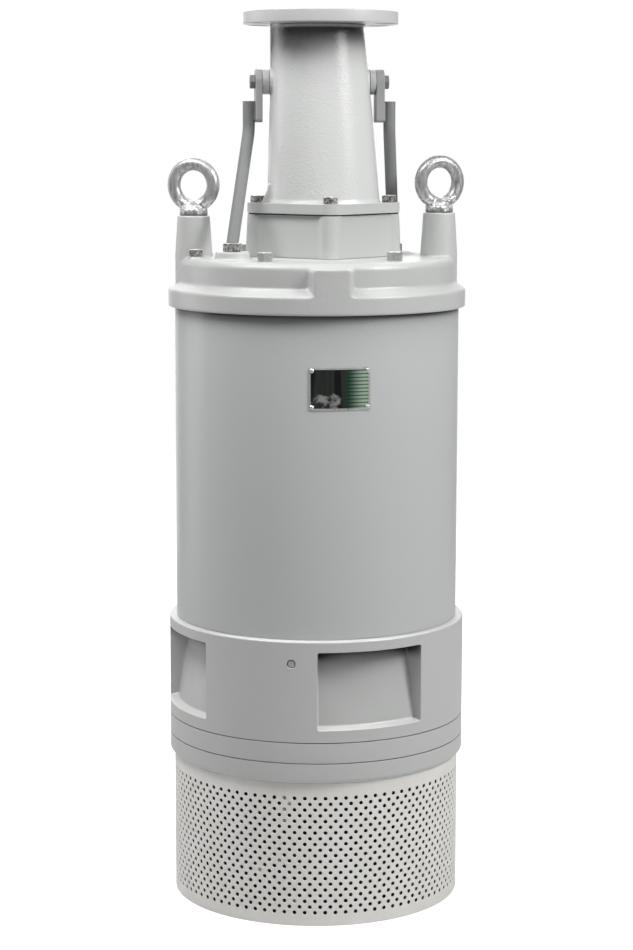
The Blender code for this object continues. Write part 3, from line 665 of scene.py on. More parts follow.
def galvanised_finish():
    """Bright zinc on a forging: streaked along the ring, hammered and faceted about its foot, which is
    painted near white as a highlight; painted shade in its crevices and low on its collar.
    """
    made = Finish("galvanised_forging", 0.40, 0.34, 0.5)
    mottle = made.noise(60.0, 3.0, 0.6)
    facets = made.cells(150.0)
    streaks = made.noise(190.0, 3.0, 0.6, made.stretched(1.0, 1.0, 0.15))
    height = made.split()["Z"]
    foot = made.ranged(height, EYE_SMOOTH_FROM, EYE_SMOOTH_FROM + 0.008, 1.0, 0.0)
    # Painted highlight: the foot's facets run between near white and mid grey
    hammered = made.mixed(made.ranged(facets, 0.35, 0.6), 0.92, 0.42)
    tone = made.mixed(made.ranged(streaks, 0.38, 0.62), 0.39, 0.60)
    # Painted shade: crevices darkened
    tone = made.mixed(made.ranged(made.crevices(0.004), 0.2, 0.8, 0.6, 0.0), tone, 0.10)
    tone = made.mixed(made.times(foot, 0.9), tone, hammered)
    # Painted shade: the collar darkened towards its foot on the pedestal
    tone = made.mixed(made.ranged(height, 0.002, 0.008, 0.85, 0.0), tone, 0.22)
    made.set({"Base Color": tone, "Roughness": made.ranged(mottle, 0.3, 0.7, 0.28, 0.40)})
    made.set({"Coat Weight": 0.35, "Coat Roughness": 0.16})
    return made.bumps((streaks, 0.0004), (made.times(facets, foot), 0.0014)).material


def sheet_finish():
    """Dull stainless sheet with handling marks and water stains; its inner face is painted near black, as
    painted shade inside the drum.
    """
    made = Finish("perforated_stainless", (0.84, 0.83, 0.80), 0.42, SHEET_METALLIC)
    stains = made.noise(9.0, 5.0, 0.65, made.stretched(1.0, 1.0, 0.4))
    marks = made.noise(300.0, 3.0, 0.6)
    tone = made.mixed(made.ranged(stains, 0.3, 0.7), (0.82, 0.80, 0.765), (0.88, 0.87, 0.84))
    tone = made.mixed(made.ranged(marks, 0.64, 0.76, 0.0, 0.3), tone, (0.62, 0.60, 0.55))
    split = made.split()
    flat = made.add("ShaderNodeCombineXYZ", {"X": split["X"], "Y": split["Y"]}).outputs["Vector"]
    radius = made.add("ShaderNodeVectorMath", {"Vector": flat}, operation="LENGTH").outputs["Value"]
    # Painted shade: the sheet's inner face darkened almost to black, without metal
    inside = made.ranged(radius, STRAINER_R - 0.0016, STRAINER_R - 0.0008, 1.0, 0.0)
    tone = made.mixed(inside, tone, (0.010, 0.010, 0.009))
    made.set({"Base Color": tone, "Roughness": made.ranged(stains, 0.3, 0.7, 0.36, 0.5)})
    made.set({"Metallic": made.times(made.opposite(inside), SHEET_METALLIC)})
    return made.bumps((made.noise(220.0, 2.0), 0.00008)).material


def plate_finish():
    """Polished blank nameplate: near black, with faint upright streaks, a painted reflection of a slatted
    window, greenish towards its right, and painted reflections of pale patches at its lower left.
    """
    made = Finish("nameplate_field", (0.02, 0.022, 0.02), 0.16)
    split = made.split()
    streaks = made.noise(90.0, 2.0, 0.5, made.stretched(1.0, 1.0, 0.05))
    # Painted reflection: the slats of a window
    reflected_slats = made.add("ShaderNodeTexWave", {"Vector": made.place, "Scale": 50.0, "Distortion": 0.0},
                     wave_type="BANDS", bands_direction="Z").outputs["Fac"]
    reflected_slats = made.ranged(reflected_slats, 0.10, 0.45)
    field = made.mixed(made.ranged(streaks, 0.45, 0.65), (0.010, 0.012, 0.011), (0.030, 0.036, 0.032))
    # Painted reflection: pale patches at the lower left
    reflected_patch = made.noise(60.0, 2.0, 0.6, made.stretched(0.8, 1.0, 1.2))
    reflected_patch = made.times(reflected_patch, made.ranged(split["Z"], 0.985, 0.948))
    reflected_patch = made.times(reflected_patch, made.ranged(split["X"], 0.030, 0.010))
    field = made.mixed(made.ranged(reflected_patch, 0.40, 0.60, 0.0, 0.9), field, (0.30, 0.30, 0.29))
    # Painted reflection: the window greenish, dark to the left and light to the right
    dark = made.mixed(reflected_slats, (0.008, 0.030, 0.018), (0.022, 0.062, 0.040))
    light = made.mixed(reflected_slats, (0.09, 0.14, 0.10), (0.36, 0.46, 0.36))
    reflected_window = made.mixed(made.ranged(split["X"], 0.028, 0.060), dark, light)
    tone = made.mixed(made.ranged(split["X"], 0.020, 0.032), field, reflected_window)
    return made.set({"Base Color": tone, "Coat Weight": 0.5, "Coat Roughness": 0.08}).material


def rubber_finish():
    made = Finish("sheet_rubber", 0.03, 0.75)
    tone = made.mixed(made.noise(150.0, 3.0), 0.018, 0.05)
    return made.set({"Base Color": tone}).bumps((made.noise(400.0, 2.0), 0.0002)).material


def silt_finish():
    made = Finish("dried_silt", (0.20, 0.195, 0.18), 0.85)
    spots = made.ranged(made.noise(520.0, 3.0), 0.40, 0.60)
    tone = made.mixed(spots, (0.04, 0.04, 0.036), (0.50, 0.49, 0.46))
    return made.set({"Base Color": tone}).bumps((made.noise(900.0, 2.0), 0.0002)).material


GREY = (0.55, 0.56, 0.55)
# Painted light: a paler copy of the grey enamel, for the neck and the machined seats, which take more light
LIT_GREY = (0.66, 0.67, 0.66)
# Reach, strength, heights and left end of the painted shade in the pockets' tops, under the rim and under
# the neck's flange
CASING_SHADE = (0.055, 1.0, 0.468, 0.494)
SLEEVE_SHADE = (0.090, 1.30, 1.000, 1.040)
NECK_SHADE = (0.10, 1.25, NECK_HEIGHT - 0.10, NECK_HEIGHT - 0.02, -0.090)
CAST = enamel("cast_enamel", GREY, 0.40, 420.0, 0.00012, 0.00012)
RISER_CAST = enamel("riser_enamel", GREY, 0.40, 420.0, 0.00012, 0.00012, crevice_shade=0.2)
COVER_CAST = enamel("cover_enamel", GREY, 0.34, 230.0, 0.00055, 0.0003, 1.4, crevice_shade=0.35)
# The casing: painted shade in the pockets' tops and a painted highlight on its level faces such as the sills
CASING_CAST = enamel("casing_enamel", GREY, 0.38, 420.0, 0.00010, 0.0, 1.0, CASING_SHADE,
                     crevice_shade=0.25, level_highlight=1.0)
# The neck: the paler grey as painted light, and painted shade under its flange
NECK_CAST = enamel("neck_enamel", LIT_GREY, 0.22, 170.0, 0.0007, 0.0, 1.6, NECK_SHADE, 0.10)
SLEEVE_PAINT = enamel("sleeve_enamel", (0.55, 0.56, 0.56), 0.38, 500.0, 0.00003, 0.0, 1.0, SLEEVE_SHADE,
                      crevice_shade=0.3)
# Painted shade: the stays' rods, heads and welds are the grey enamel painted darker, and their plates a
# little darker, for the shade they stand in
STAY_SHADED_PAINT = enamel("stay_enamel", (0.24, 0.245, 0.245), 0.60, 400.0, 0.00005, 0.0, coat=0.0)
STRAP_SHADED_PAINT = enamel("strap_enamel", (0.38, 0.385, 0.385), 0.50, 400.0, 0.00005, 0.0, coat=0.05)
# Painted shade: the shroud inside the strainer is painted near black
INNER_SHADE_CAST = enamel("grimy_cast", (0.035, 0.034, 0.032), 0.8, 300.0, 0.0003, 0.0004)
# Painted highlight: the machined seats are the paler grey
MACHINED_LIT = enamel("machined_enamel", LIT_GREY, 0.30, 700.0, 0.00002, 0.00002)
PAINTED_BOLT = bolt_finish("painted_bolt", (0.40, 0.41, 0.40), 0.42, 0.12)
WORN_BOLT = bolt_finish("worn_bolt", (0.24, 0.235, 0.225), 0.42, 0.85)
PLUG_STEEL = steel_finish("plug_steel", (0.46, 0.46, 0.46), 0.40, 0.1, 0.0001)
BRIGHT_STEEL = steel_finish("plate_edge", (0.74, 0.74, 0.73), 0.30, 0.5, 0.00002)
GALVANISED = galvanised_finish()
STAINLESS = sheet_finish()
PLATE_FIELD = plate_finish()
RUBBER = rubber_finish()
SILT = silt_finish()


def hexagon(corner_r, edge):
    """A hexagon's outline with its corners rounded."""
    return rounded([(*polar(corner_r, k * tau / 6), edge) for k in range(6)])


def hex_head(name, size, height, washer_h, edge):
    """A forged hexagon head with a chamfered crown and soft corners, on its washer."""
    flats, washer_r = size
    low, high = washer_h - 0.0002, washer_h + height
    flat_r, corner_r = flats / 2, flats / sqrt(3)
    reach, root = corner_r + 0.0004, low - 0.01
    drop = (reach - flat_r) * tan(HEAD_SLOPE)
    crown = lathe(
        f"{name}_crown",
        [(0, high), (flat_r * 0.94, high, 0.0004), (reach, high - drop), (reach, root), (0, root)],
        SMALL_STEPS,
    )
    head = combine(plate(name, hexagon(corner_r, edge), low, high), [crown], "INTERSECT")
    washer = disc(f"{name}_washer", washer_r, 0.0, washer_h, 0.0004, 0.0003)
    return together(name, [head, washer])


def hole_place(row):
    return FIRST_ROW_Z + row * HOLE_PITCH_Z


def perforated_sheet():
    """A rolled sheet with rows of punched and deburred holes, every other row half a pitch round."""
    work = edit()
    inner_r, chamfer_r = STRAINER_R - SHEET, STRAINER_R - HOLE_CHAMFER
    lines = [SHEET_LOW, *[hole_place(row - 0.5) for row in range(HOLE_ROWS + 1)], STRAINER_HIGH]
    count = 2 * HOLES_ROUND
    half = tau / count

    def point(radius, azimuth, z):
        return work.verts.new((*polar(radius, azimuth), z))

    def grid(radius):
        return [[point(radius, k * half, z) for k in range(count)] for z in lines]

    outer, inner = grid(STRAINER_R), grid(inner_r)
    for face in (outer, inner):
        bridge(work, face[0], face[1])
        bridge(work, face[-2], face[-1])
    for level in (0, -1):
        bridge(work, outer[level], inner[level])
    turns = [tau * j / HOLE_SIDES - pi for j in range(HOLE_SIDES)]
    hole_levels = ((STRAINER_R, HOLE_R + HOLE_CHAMFER), (chamfer_r, HOLE_R), (inner_r, HOLE_R))
    for row in range(HOLE_ROWS):
        z = hole_place(row)
        for column in range(HOLES_ROUND):
            middle = 2 * column + (row + 1) % 2
            rings = [
                [point(radius, middle * half + hole * cos(t) / STRAINER_R, z + hole * sin(t)) for t in turns]
                for radius, hole in hole_levels
            ]
            for a, b in zip(rings, rings[1:]):
                bridge(work, a, b)
            for face, ring in ((outer, rings[0]), (inner, rings[-1])):
                border = [face[row + 1][(middle + side) % count] for side in (-1, 0, 1)]
                border += [face[row + 2][(middle + side) % count] for side in (1, 0, -1)]
                for i in range(6):
                    circle = [ring[(2 * i + j) % HOLE_SIDES] for j in (3, 2, 1)]
                    work.faces.new((border[i], border[(i + 1) % 6], *circle))
    bmesh.ops.recalc_face_normals(work, faces=work.faces)
    return stored(work, "strainer_sheet")


def silt_plugs():
    """Dried silt in a few holes: those that the photo shows, and some round the back."""
    dice = random.Random(5)
    spots = list(SEEN_SILT)
    for _ in range(HIDDEN_SILT):
        row = dice.randrange(HOLE_ROWS)
        spots.append((row, 4 * dice.randrange(20, 70) + 2 * ((row + 1) % 2)))
    plug_r = HOLE_R * 0.99
    plug = lathe("silt_plug", [(0, 0.0006), (plug_r, -0.0004, 0.0004), (plug_r, -0.0016), (0, -0.0016)], 16)
    plugs = []
    for row, degrees in spots:
        azimuth = radians(degrees)
        z = hole_place(row) - dice.uniform(0.0, 0.0008)
        plugs.append((plug, (*polar(STRAINER_R - 0.0008, azimuth), z), (pi / 2, 0, azimuth)))
    return together("strainer_silt", plugs)


def build_strainer():
    add_piece("strainer_sheet", perforated_sheet(), STAINLESS, ["strainer_shell"])
    add_piece("strainer_silt", silt_plugs(), SILT)
    foot_low, foot_high = span("strainer_bottom")
    inner_r = STRAINER_R - SHEET
    foot = lathe("strainer_foot", [(0, foot_high), (inner_r, foot_high), (inner_r, SHEET_LOW),
                                   (STRAINER_R, SHEET_LOW), (STRAINER_R, foot_low, 0.0008), (0, foot_low)])
    add_piece("strainer_foot", foot, STAINLESS, ["strainer_bottom"])
    under = SHROUD_HIGH - SHROUD_WALL
    shroud = lathe(
        "inlet_shroud",
        [(SHROUD_MOUTH_R, SHROUD_HIGH), (SHROUD_R, SHROUD_HIGH, 0.010), (SHROUD_R, SHROUD_LOW, 0.012),
         (SHROUD_R - 0.040, SHROUD_LOW, 0.012), (SHROUD_R - SHROUD_WALL, under, 0.010),
         (SHROUD_MOUTH_R, under)],
        96, closed=True,
    )
    # The shroud is painted near black as the shade inside the strainer
    add_piece("inlet_shroud", shroud, INNER_SHADE_CAST)


def joint(z, side):
    """The profile of the slot at a joint, from inside out. The side is -1 for a casting below the joint."""
    edge = z + side * JOINT_SLOT
    return [(CASING_R - JOINT_DEPTH, z), (CASING_R - JOINT_DEPTH, edge), (CASING_R, edge, EDGE_ROUND)]


def build_suction_and_diffuser():
    low = STRAINER_HIGH + GAP
    spigot_r = STRAINER_R - SHEET - 2 * GAP
    cover = lathe(
        "suction_casting",
        [(0, SUCTION_HIGH), *joint(SUCTION_HIGH, -1), (CASING_R, low + FOOT_CHAMFER, 0.0015),
         (CASING_R - FOOT_CHAMFER, low, 0.0008), (spigot_r, low), (spigot_r, low - SPIGOT, 0.0005),
         *[(radius, low - depth, 0.004) for radius, depth in INLET_MOUTH], (0, low - INLET_MOUTH[-1][1])],
    )
    add_piece("suction_casting", cover, CAST, ["suction_cover"])
    lower_slot = joint(DIFFUSER_LOW, 1)
    ring = lathe("diffuser_casting", [(0, DIFFUSER_HIGH), *joint(DIFFUSER_HIGH, -1), *lower_slot[::-1],
                                      (0, DIFFUSER_LOW)])
    add_piece("diffuser_casting", ring, CAST, ["diffuser_ring"])


def unrolled(mesh):
    """Turns a flat outline of (radius, z), extruded by arc length, to (arc length, radius, z)."""
    mesh.transform(Matrix(((0, 0, 1, 0), (1, 0, 0, 0), (0, 1, 0, 0), (0, 0, 0, 1))))
    return mesh


def pocket_wedge(azimuth):
    """The space of one pocket in the unrolled wall, whose floor leans in towards the top."""
    half = POCKET_ARC / 2 * CASING_R
    outer = CASING_R + THROUGH
    work = edit()
    bmesh.ops.create_cube(work, size=2.0)
    for v in work.verts:
        low, inside = v.co.z < 0, v.co.y < 0
        back = POCKET_R_LOW if low else POCKET_R_HIGH
        rise = POCKET_SILL if inside else -POCKET_SILL * THROUGH / (CASING_R - back)
        v.co.x = azimuth * CASING_R + v.co.x * half
        v.co.y = back if inside else outer
        v.co.z = POCKET_LOW + rise if low else POCKET_HIGH
    inner = [e for e in work.edges if min(v.co.y for v in e.verts) < outer - 0.001]
    bevel(work, inner, POCKET_CORNER, 5)
    return stored(work, "pocket_wedge")


def soften_rims(wall):
    """Bevels the sharp edges of the pockets and the plug's hole, on the outer face of the unrolled wall."""
    work = edit(wall)
    bmesh.ops.dissolve_limit(work, angle_limit=0.001, verts=work.verts, edges=work.edges)
    low, high = CASING_LOW + 0.01, CASING_HIGH - 0.01
    rims = []
    for edge in work.edges:
        on_face = all(abs(v.co.y - CASING_R) < 1e-5 and low < v.co.z < high for v in edge.verts)
        if on_face and len(edge.link_faces) == 2 and edge.calc_face_angle() > radians(30):
            rims.append(edge)
    bevel(work, rims, POCKET_RIM)
    return stored(work, wall)


def casing_wall():
    """The wall is made flat and unrolled from a seam at the back, cut, and then bent round."""
    start = POCKET_AZ - radians(135)
    ends = (start * CASING_R, (start + tau) * CASING_R)
    section = rounded([(CASING_CORE_R, CASING_LOW), *joint(CASING_LOW, 1), (CASING_R, CASING_HIGH, 0.004),
                       (CASING_CORE_R, CASING_HIGH)])
    wall = unrolled(plate("casing_wall", section, *ends))
    hole = disc("plug_hole", PLUG_HOLE_R, -0.016, THROUGH, steps=32)
    cuts = [pocket_wedge(POCKET_AZ + k * pi / 2) for k in (-1, 0, 1, 2)]
    cuts.append((hole, (PLUG_AZ * CASING_R, CASING_R, PLUG_Z), (-pi / 2, 0, 0)))
    wall = soften_rims(combine(wall, cuts))
    work = edit(wall)
    caps = [f for f in work.faces if any(all(abs(v.co.x - x) < 1e-6 for v in f.verts) for x in ends)]
    bmesh.ops.delete(work, geom=caps, context="FACES_ONLY")
    return wrap(stored(work, wall), CASING_R)


def build_casing():
    add_piece("casing_wall", casing_wall(), CASING_CAST, ["pump_casing"], even=True)
    plug = lathe("wall_plug", [(0, -0.0008), (PLUG_R, -0.0008, 0.0006), (PLUG_R, -0.0050),
                               (PLUG_BODY_R, -0.0050), (PLUG_BODY_R, -0.012), (0, -0.012)], 48)
    at = (*polar(CASING_R, PLUG_AZ), PLUG_Z)
    add_piece("wall_plug", plug, PLUG_STEEL, ["casing_plug"], at, (pi / 2, 0, PLUG_AZ))


def build_sleeve():
    sleeve = disc("sleeve_tube", SLEEVE_R, SLEEVE_LOW, SLEEVE_HIGH, EDGE_ROUND, EDGE_ROUND, ROUND_STEPS)
    add_piece("sleeve_tube", sleeve, SLEEVE_PAINT, ["motor_sleeve"])


def nameplate_layer(name, inset, corner, low, high, edge=0.0):
    """One flat layer of the nameplate, bent round the sleeve. Its heights stand on the sleeve."""
    half = PLATE_W / 2 - inset
    middle = PLATE_AZ * SLEEVE_R
    z_low, z_high = PLATE_LOW + inset, PLATE_HIGH - inset
    corners = ((-1, z_low), (1, z_low), (1, z_high), (-1, z_high))
    outline = rounded([(middle + side * half, z, corner) for side, z in corners])
    flat = plate(name, outline, -high, -low, edge)
    flat.transform(Matrix.Translation((0, SLEEVE_R, 0)) @ Matrix.Rotation(pi / 2, 4, "X"))
    return wrap(flat, SLEEVE_R)


def build_nameplate():
    """Blank metal plate with a dark polished field and four rivets."""
    border = nameplate_layer("nameplate_rim", 0.0, 0.003, GAP, PLATE_RISE, 0.0003)
    add_piece("nameplate_rim", border, BRIGHT_STEEL, ["nameplate"], even=True)
    field = nameplate_layer("nameplate_field", PLATE_FRAME, 0.002, PLATE_RISE / 2, PLATE_RISE + 0.0003)
    add_piece("nameplate_field", field, PLATE_FIELD, even=True)
    profile = [(0, 0.0022), (0.0024, 0.0017, 0.001), (0.0042, 0.0001, 0.0002), (0.0042, 0), (0, 0)]
    head = lathe("rivet", profile, 24)
    rivets = []
    for side in (-1, 1):
        azimuth = PLATE_AZ + side * (PLATE_W / 2 - RIVET_INSET) / SLEEVE_R
        for z in (PLATE_LOW + RIVET_INSET, PLATE_HIGH - RIVET_INSET):
            rivets.append((head, (*polar(SLEEVE_R + PLATE_RISE, azimuth), z), (pi / 2, 0, azimuth)))
    add_piece("nameplate_rivets", together("nameplate_rivets", rivets), BRIGHT_STEEL)


def cover_tab():
    """A tab of the cover: wider at its root, its top edge rounded and its face on the rim's own curve."""
    half, root = TAB_W / 2, TAB_ROOT_W / 2
    face_angle = asin(half / RIM_R)
    front = [polar(RIM_R, face_angle * k / 6) for k in range(-6, 7)]
    back = 0.002 - DOME_R
    outline = [*front, (root, back), (root, -TAB_ROOT_R), (-root, -TAB_ROOT_R), (-root, back)]
    work = edit(plate("cover_tab", outline, RIM_TOP - 0.012, TAB_HIGH))
    top = [e for e in work.edges if all(v.co.z > TAB_HIGH - 1e-5 for v in e.verts)]
    sides = [e for e in top if abs(e.verts[0].co.x - e.verts[1].co.x) < 0.012]
    bevel(work, [e for e in sides if abs(sum(v.co.x for v in e.verts)) > 1.9 * half], TAB_SHOULDER, 4)
    return stored(work, "cover_tab")


def ledge_height(radius):
    """The height of the sloping ledge between the rim and the cover's wall."""
    return RIM_TOP + (RIM_R - radius) * (LEDGE_Z - RIM_TOP) / (RIM_R - LEDGE_R)


def tab_fillet(side):
    """The hollow fillet where one side of a tab runs out onto the ledge."""
    front = Vector((TAB_W / 2, -sqrt(RIM_R ** 2 - TAB_W ** 2 / 4)))
    back = Vector((TAB_ROOT_W / 2, 0.002 - DOME_R))
    along = (back - front).normalized()
    outward = Vector((along.y, -along.x))
    hollow = arc((TAB_FILLET, TAB_FILLET), TAB_FILLET, radians(270), radians(180), 8)
    section = [*hollow, (-0.004, TAB_FILLET), (-0.004, -0.004), (TAB_FILLET, -0.004)]
    mesh = plate("tab_fillet", section, -0.002, (back - front).length + 0.002)
    for v in mesh.vertices:
        place = front + along * v.co.z + outward * v.co.x
        place *= min(1.0, (RIM_R - 0.0003) / place.length)
        v.co = (side * place.x, place.y, ledge_height(place.length) + v.co.y)
    return welded(mesh)


def stub(name, top, foot, root, radii, steps):
    """A boss that widens from its top down to its foot and goes on straight into the cover."""
    top_r, foot_r = radii
    return lathe(name, [(0, top), (top_r, top, 0.0015), (foot_r, foot), (foot_r, root), (0, root)], steps)


def cover_casting():
    crown = lathe(
        "cover_casting",
        [(0, SEAT_Z), (SEAT_R, SEAT_Z), (SEAT_R + 0.002, CROWN_Z), (DOME_R, CROWN_Z, 0.013),
         (LEDGE_R + 0.0005, LEDGE_Z, 0.006), (RIM_R, RIM_TOP, 0.005), (RIM_R, COVER_LOW, 0.003),
         (0, COVER_LOW)],
    )
    shells = [crown, (disc("gland_seat", GLAND_SEAT_R, BOSS_ROOT_Z, GLAND_SEAT_Z, 0.002), (0, GLAND_Y, 0))]
    tab = cover_tab()
    for turn in (0, pi):
        shells += [(shell, ORIGIN, (0, 0, turn)) for shell in (tab, tab_fillet(-1), tab_fillet(1))]
    for azimuth in EDGE_BOLT_AZ:
        boss = disc("edge_boss", EDGE_BOSS_R, BOSS_ROOT_Z, EDGE_BOSS_Z, 0.001)
        shells.append((boss, (*polar(EDGE_BOLT_R, azimuth), 0)))
    for side, top in PEDESTAL_TOPS.items():
        pedestal = stub("pedestal", top, PEDESTAL_FOOT_Z, PEDESTAL_ROOT_Z, PEDESTAL_RADII, SMALL_STEPS)
        shells.append((pedestal, (side * PEDESTAL_X, 0, 0)))
    for side, (x, y, top) in STAY_FEET.items():
        shells.append((stub("pad", top, CROWN_Z, BOSS_ROOT_Z, PAD_RADII[side], ROUND_STEPS), (x, y, 0)))
    body = cast("cover_casting", shells, COVER_VOXEL, 2, CAST_TRIANGLES)
    well = disc("well", BORE_R, WELL_LOW, CROWN_Z + THROUGH)
    return combine(body, [(well, (COLUMN_X, 0, 0))])


def build_cover():
    add_piece("cover_casting", cover_casting(), COVER_CAST, ["top_cover"], soft=CAST_ANGLE)
    seat_high, seat_low = SEAT_Z + 0.0001, CROWN_Z - 0.0028
    seat = lathe("riser_seat", [(BORE_R, seat_high, 0.0004), (SEAT_R - 0.0006, seat_high, 0.0004),
                                (SEAT_R + 0.0002, CROWN_Z + 0.0003), (SEAT_R + 0.0002, seat_low),
                                (BORE_R, seat_low)], closed=True)
    add_piece("riser_seat", seat, MACHINED_LIT)
    face = disc("spot_face", SPOT_FACE_R, CROWN_Z - 0.0108, CROWN_Z - 0.0006, 0.0004)
    faces = [(face, (*polar(COVER_BOLT_R, azimuth), 0)) for azimuth in COVER_BOLT_AZ]
    add_piece("spot_faces", together("spot_faces", faces), MACHINED_LIT)


def build_bolts():
    tall = hex_head("cover_head", HEAD, 0.0155, 0.0008, 0.0008)
    small = hex_head("small_head", HEAD, 0.0117, 0.0008, 0.0010)
    for k, (azimuth, turn) in enumerate(zip(COVER_BOLT_AZ, COVER_BOLT_TURNS), start=1):
        at = (*polar(COVER_BOLT_R, azimuth), CROWN_Z - 0.0005)
        add_piece(f"cover_head_{k}", tall, PAINTED_BOLT, [f"cover_bolt_{k}"], at, (0, 0, turn))
    for k, azimuth in enumerate(EDGE_BOLT_AZ, start=1):
        at = (*polar(EDGE_BOLT_R, azimuth), EDGE_BOSS_Z + GAP)
        add_piece(f"edge_head_{k}", small, WORN_BOLT, [f"edge_bolt_{k}"], at)
    for k, turn in enumerate(NECK_BOLT_TURNS, start=1):
        x, y = polar(LOBE_BOLT_R, (k - 1) * pi / 2)
        at = (COLUMN_X + x, y, BASE_HIGH + GAP)
        add_piece(f"neck_head_{k}", small, WORN_BOLT, [f"neck_bolt_{k}"], at, (0, 0, turn))


def lifting_eye():
    """A drop-forged eyebolt: its ring runs down into a cone on the round collar."""
    ring = lathe("eye_ring", arc((EYE_RING_R, 0), EYE_BAR_R, tau, 0, 32)[:-1], 96, closed=True)
    collar = disc("eye_collar", COLLAR_R, 0, COLLAR_HIGH, 0.0020, 0.0008)
    saddle = lathe("eye_saddle", [(0, 0.0265), (0.0125, 0.0265, 0.003), (0.0195, 0.0190, 0.006),
                                  (0.0240, 0.0105), (0.0240, 0.002), (0, 0.002)], SMALL_STEPS)
    ring = (ring, (0, 0, EYE_CENTRE), (pi / 2, 0, 0))
    return cast("lifting_ring", [ring, collar, saddle], EYE_VOXEL, 5, 60000)


def build_eyes():
    forging = lifting_eye()
    for side, name in ((-1, "left"), (1, "right")):
        turned = together(f"lifting_ring_{name}", [(forging, ORIGIN, (0, 0, EYE_TURNS[side]))])
        at = (side * PEDESTAL_X, 0, PEDESTAL_TOPS[side] + GAP)
        add_piece(f"lifting_ring_{name}", turned, GALVANISED, [f"lifting_eye_{name}"], at,
                  soft=CAST_ANGLE)


def lobed_outline(face, lobe_r):
    """A square with its corners towards -Y, +X, +Y and -X, each carrying a round bolt lobe."""
    steps = 10
    off_line = face - LOBE_BOLT_R / sqrt(2)
    along = sqrt((lobe_r + LOBE_FILLET) ** 2 - (LOBE_FILLET + off_line) ** 2)
    outward = Vector((1.0, 1.0)).normalized()
    lobe = Vector((LOBE_BOLT_R, 0.0))
    fillet_centre = lobe + outward * (off_line + LOBE_FILLET) + Vector((-1.0, 1.0)).normalized() * along
    to_fillet = atan2(fillet_centre.y, fillet_centre.x - LOBE_BOLT_R)
    half_lobe = arc(lobe, lobe_r, -to_fillet, to_fillet, steps)
    bend = arc(fillet_centre, LOBE_FILLET, to_fillet - pi, radians(-135), steps)[1:]
    corner = half_lobe + bend + [p.yx for p in reversed(bend)]
    return [Matrix.Rotation(k * pi / 2, 2) @ p for k in range(4) for p in corner]


def build_riser():
    riser = plate("riser_block", lobed_outline(RISER_FACE, RISER_LOBE_R), RISER_LOW, RISER_HIGH, 0.0008)
    reach = LOBE_BOLT_R + RISER_LOBE_R
    for v in riser.vertices:
        down = (RISER_HIGH - v.co.z) / (RISER_HIGH - RISER_LOW)
        v.co.xy *= (reach + RISER_TAPER * down) / reach
    riser = combine(riser, [bore("riser_bore", BORE_R, RISER_LOW, RISER_HIGH)])
    add_piece("riser_block", riser, RISER_CAST, ["discharge_riser"], (COLUMN_X, 0, 0),
              even=True)


def build_gasket():
    """A hand-cut sheet, whose edge wanders a little in and out."""
    cut = []
    for p in lobed_outline(RISER_FACE - GASKET_INSET, RISER_LOBE_R - GASKET_INSET):
        wander = noise.noise(Vector((p.x, p.y, 0)) * 55.0) * GASKET_WANDER
        cut.append(p + p.normalized() * wander)
    sheet = plate("gasket_sheet", cut, GASKET_LOW, GASKET_HIGH)
    sheet = combine(sheet, [bore("gasket_bore", BORE_R + 0.002, GASKET_LOW, GASKET_HIGH)])
    add_piece("gasket_sheet", sheet, RUBBER, ["discharge_gasket"], (COLUMN_X, 0, 0))


def leaning(mesh):
    """Leans a shape sideways with the neck, about the level of the base flange."""
    slope = Matrix.Identity(4)
    slope[0][2] = NECK_LEAN
    mesh.transform(slope)
    return mesh


def neck_radius(rise):
    """The neck's radius, with a slight belly, from a rise of 0 at its foot to 1 under its flange."""
    return NECK_R_LOW + (NECK_R_HIGH - NECK_R_LOW) * rise + NECK_BELLY * sin(pi * rise)


def neck_profile():
    """The neck's outer side, down from its collar under the flange to its foot."""
    top_r, foot_r = NECK_R_HIGH + 0.004, NECK_R_LOW + 0.0034
    points = [(0, NECK_HEIGHT + 0.004), (top_r, NECK_HEIGHT + 0.004), (top_r, NECK_HEIGHT - 0.0018)]
    for rise in (1 - k / 16 for k in range(17)):
        points.append((neck_radius(rise), 0.006 + rise * (NECK_HEIGHT - 0.012)))
    return points + [(foot_r, -0.0018), (foot_r, -0.012), (0, -0.012)]


def gusset():
    """A small rib at the left foot of the neck, with a hollow slope."""
    slope = [(GUSSET_REACH * (1 - t) ** 1.6, GUSSET_HIGH * t) for t in (k / 8 for k in range(9))]
    outline = [(-0.02, -0.004), (GUSSET_REACH, -0.004), *slope, (-0.02, GUSSET_HIGH)]
    rib = plate("gusset", outline, -0.024, -0.016)
    rib.transform(Matrix.Rotation(pi / 2, 4, "X"))
    return rib


def neck_casting():
    """Tapered neck with its stay bosses, web, gusset and the seam of its mould, about its own foot."""
    stay_up = STAY_Z - BASE_HIGH
    shells = [leaning(lathe("neck_casting", neck_profile(), 192))]
    for side, (_, face, _, _) in STAYS.items():
        boss = disc("boss", STAY_R, 0.055, face, 0.001)
        shells.append((boss, (-COLUMN_X, 0, stay_up), (0, side * pi / 2, 0)))
    shells.append((block("stay_web", WEB_SIZE), (WEB_X - COLUMN_X, 0, stay_up + WEB_RISE)))
    shells.append((gusset(), (-NECK_R_LOW - 0.001, 0, 0), (0, 0, pi)))
    for side in (-1, 1):
        line = [(side * neck_radius(rise), 0, rise * NECK_HEIGHT) for rise in (k / 12 for k in range(13))]
        shells.append(leaning(tube("mould_seam", line, SEAM_R, 3)))
    body = cast("neck_casting", shells, NECK_VOXEL, 3, CAST_TRIANGLES)
    trim = block("neck_trim", (0.5, 0.5, 0.02))
    hollow = leaning(bore("neck_bore", BORE_R, 0, NECK_HEIGHT, 96))
    return combine(body, [hollow, (trim, (0, 0, NECK_HEIGHT + 0.0101))])


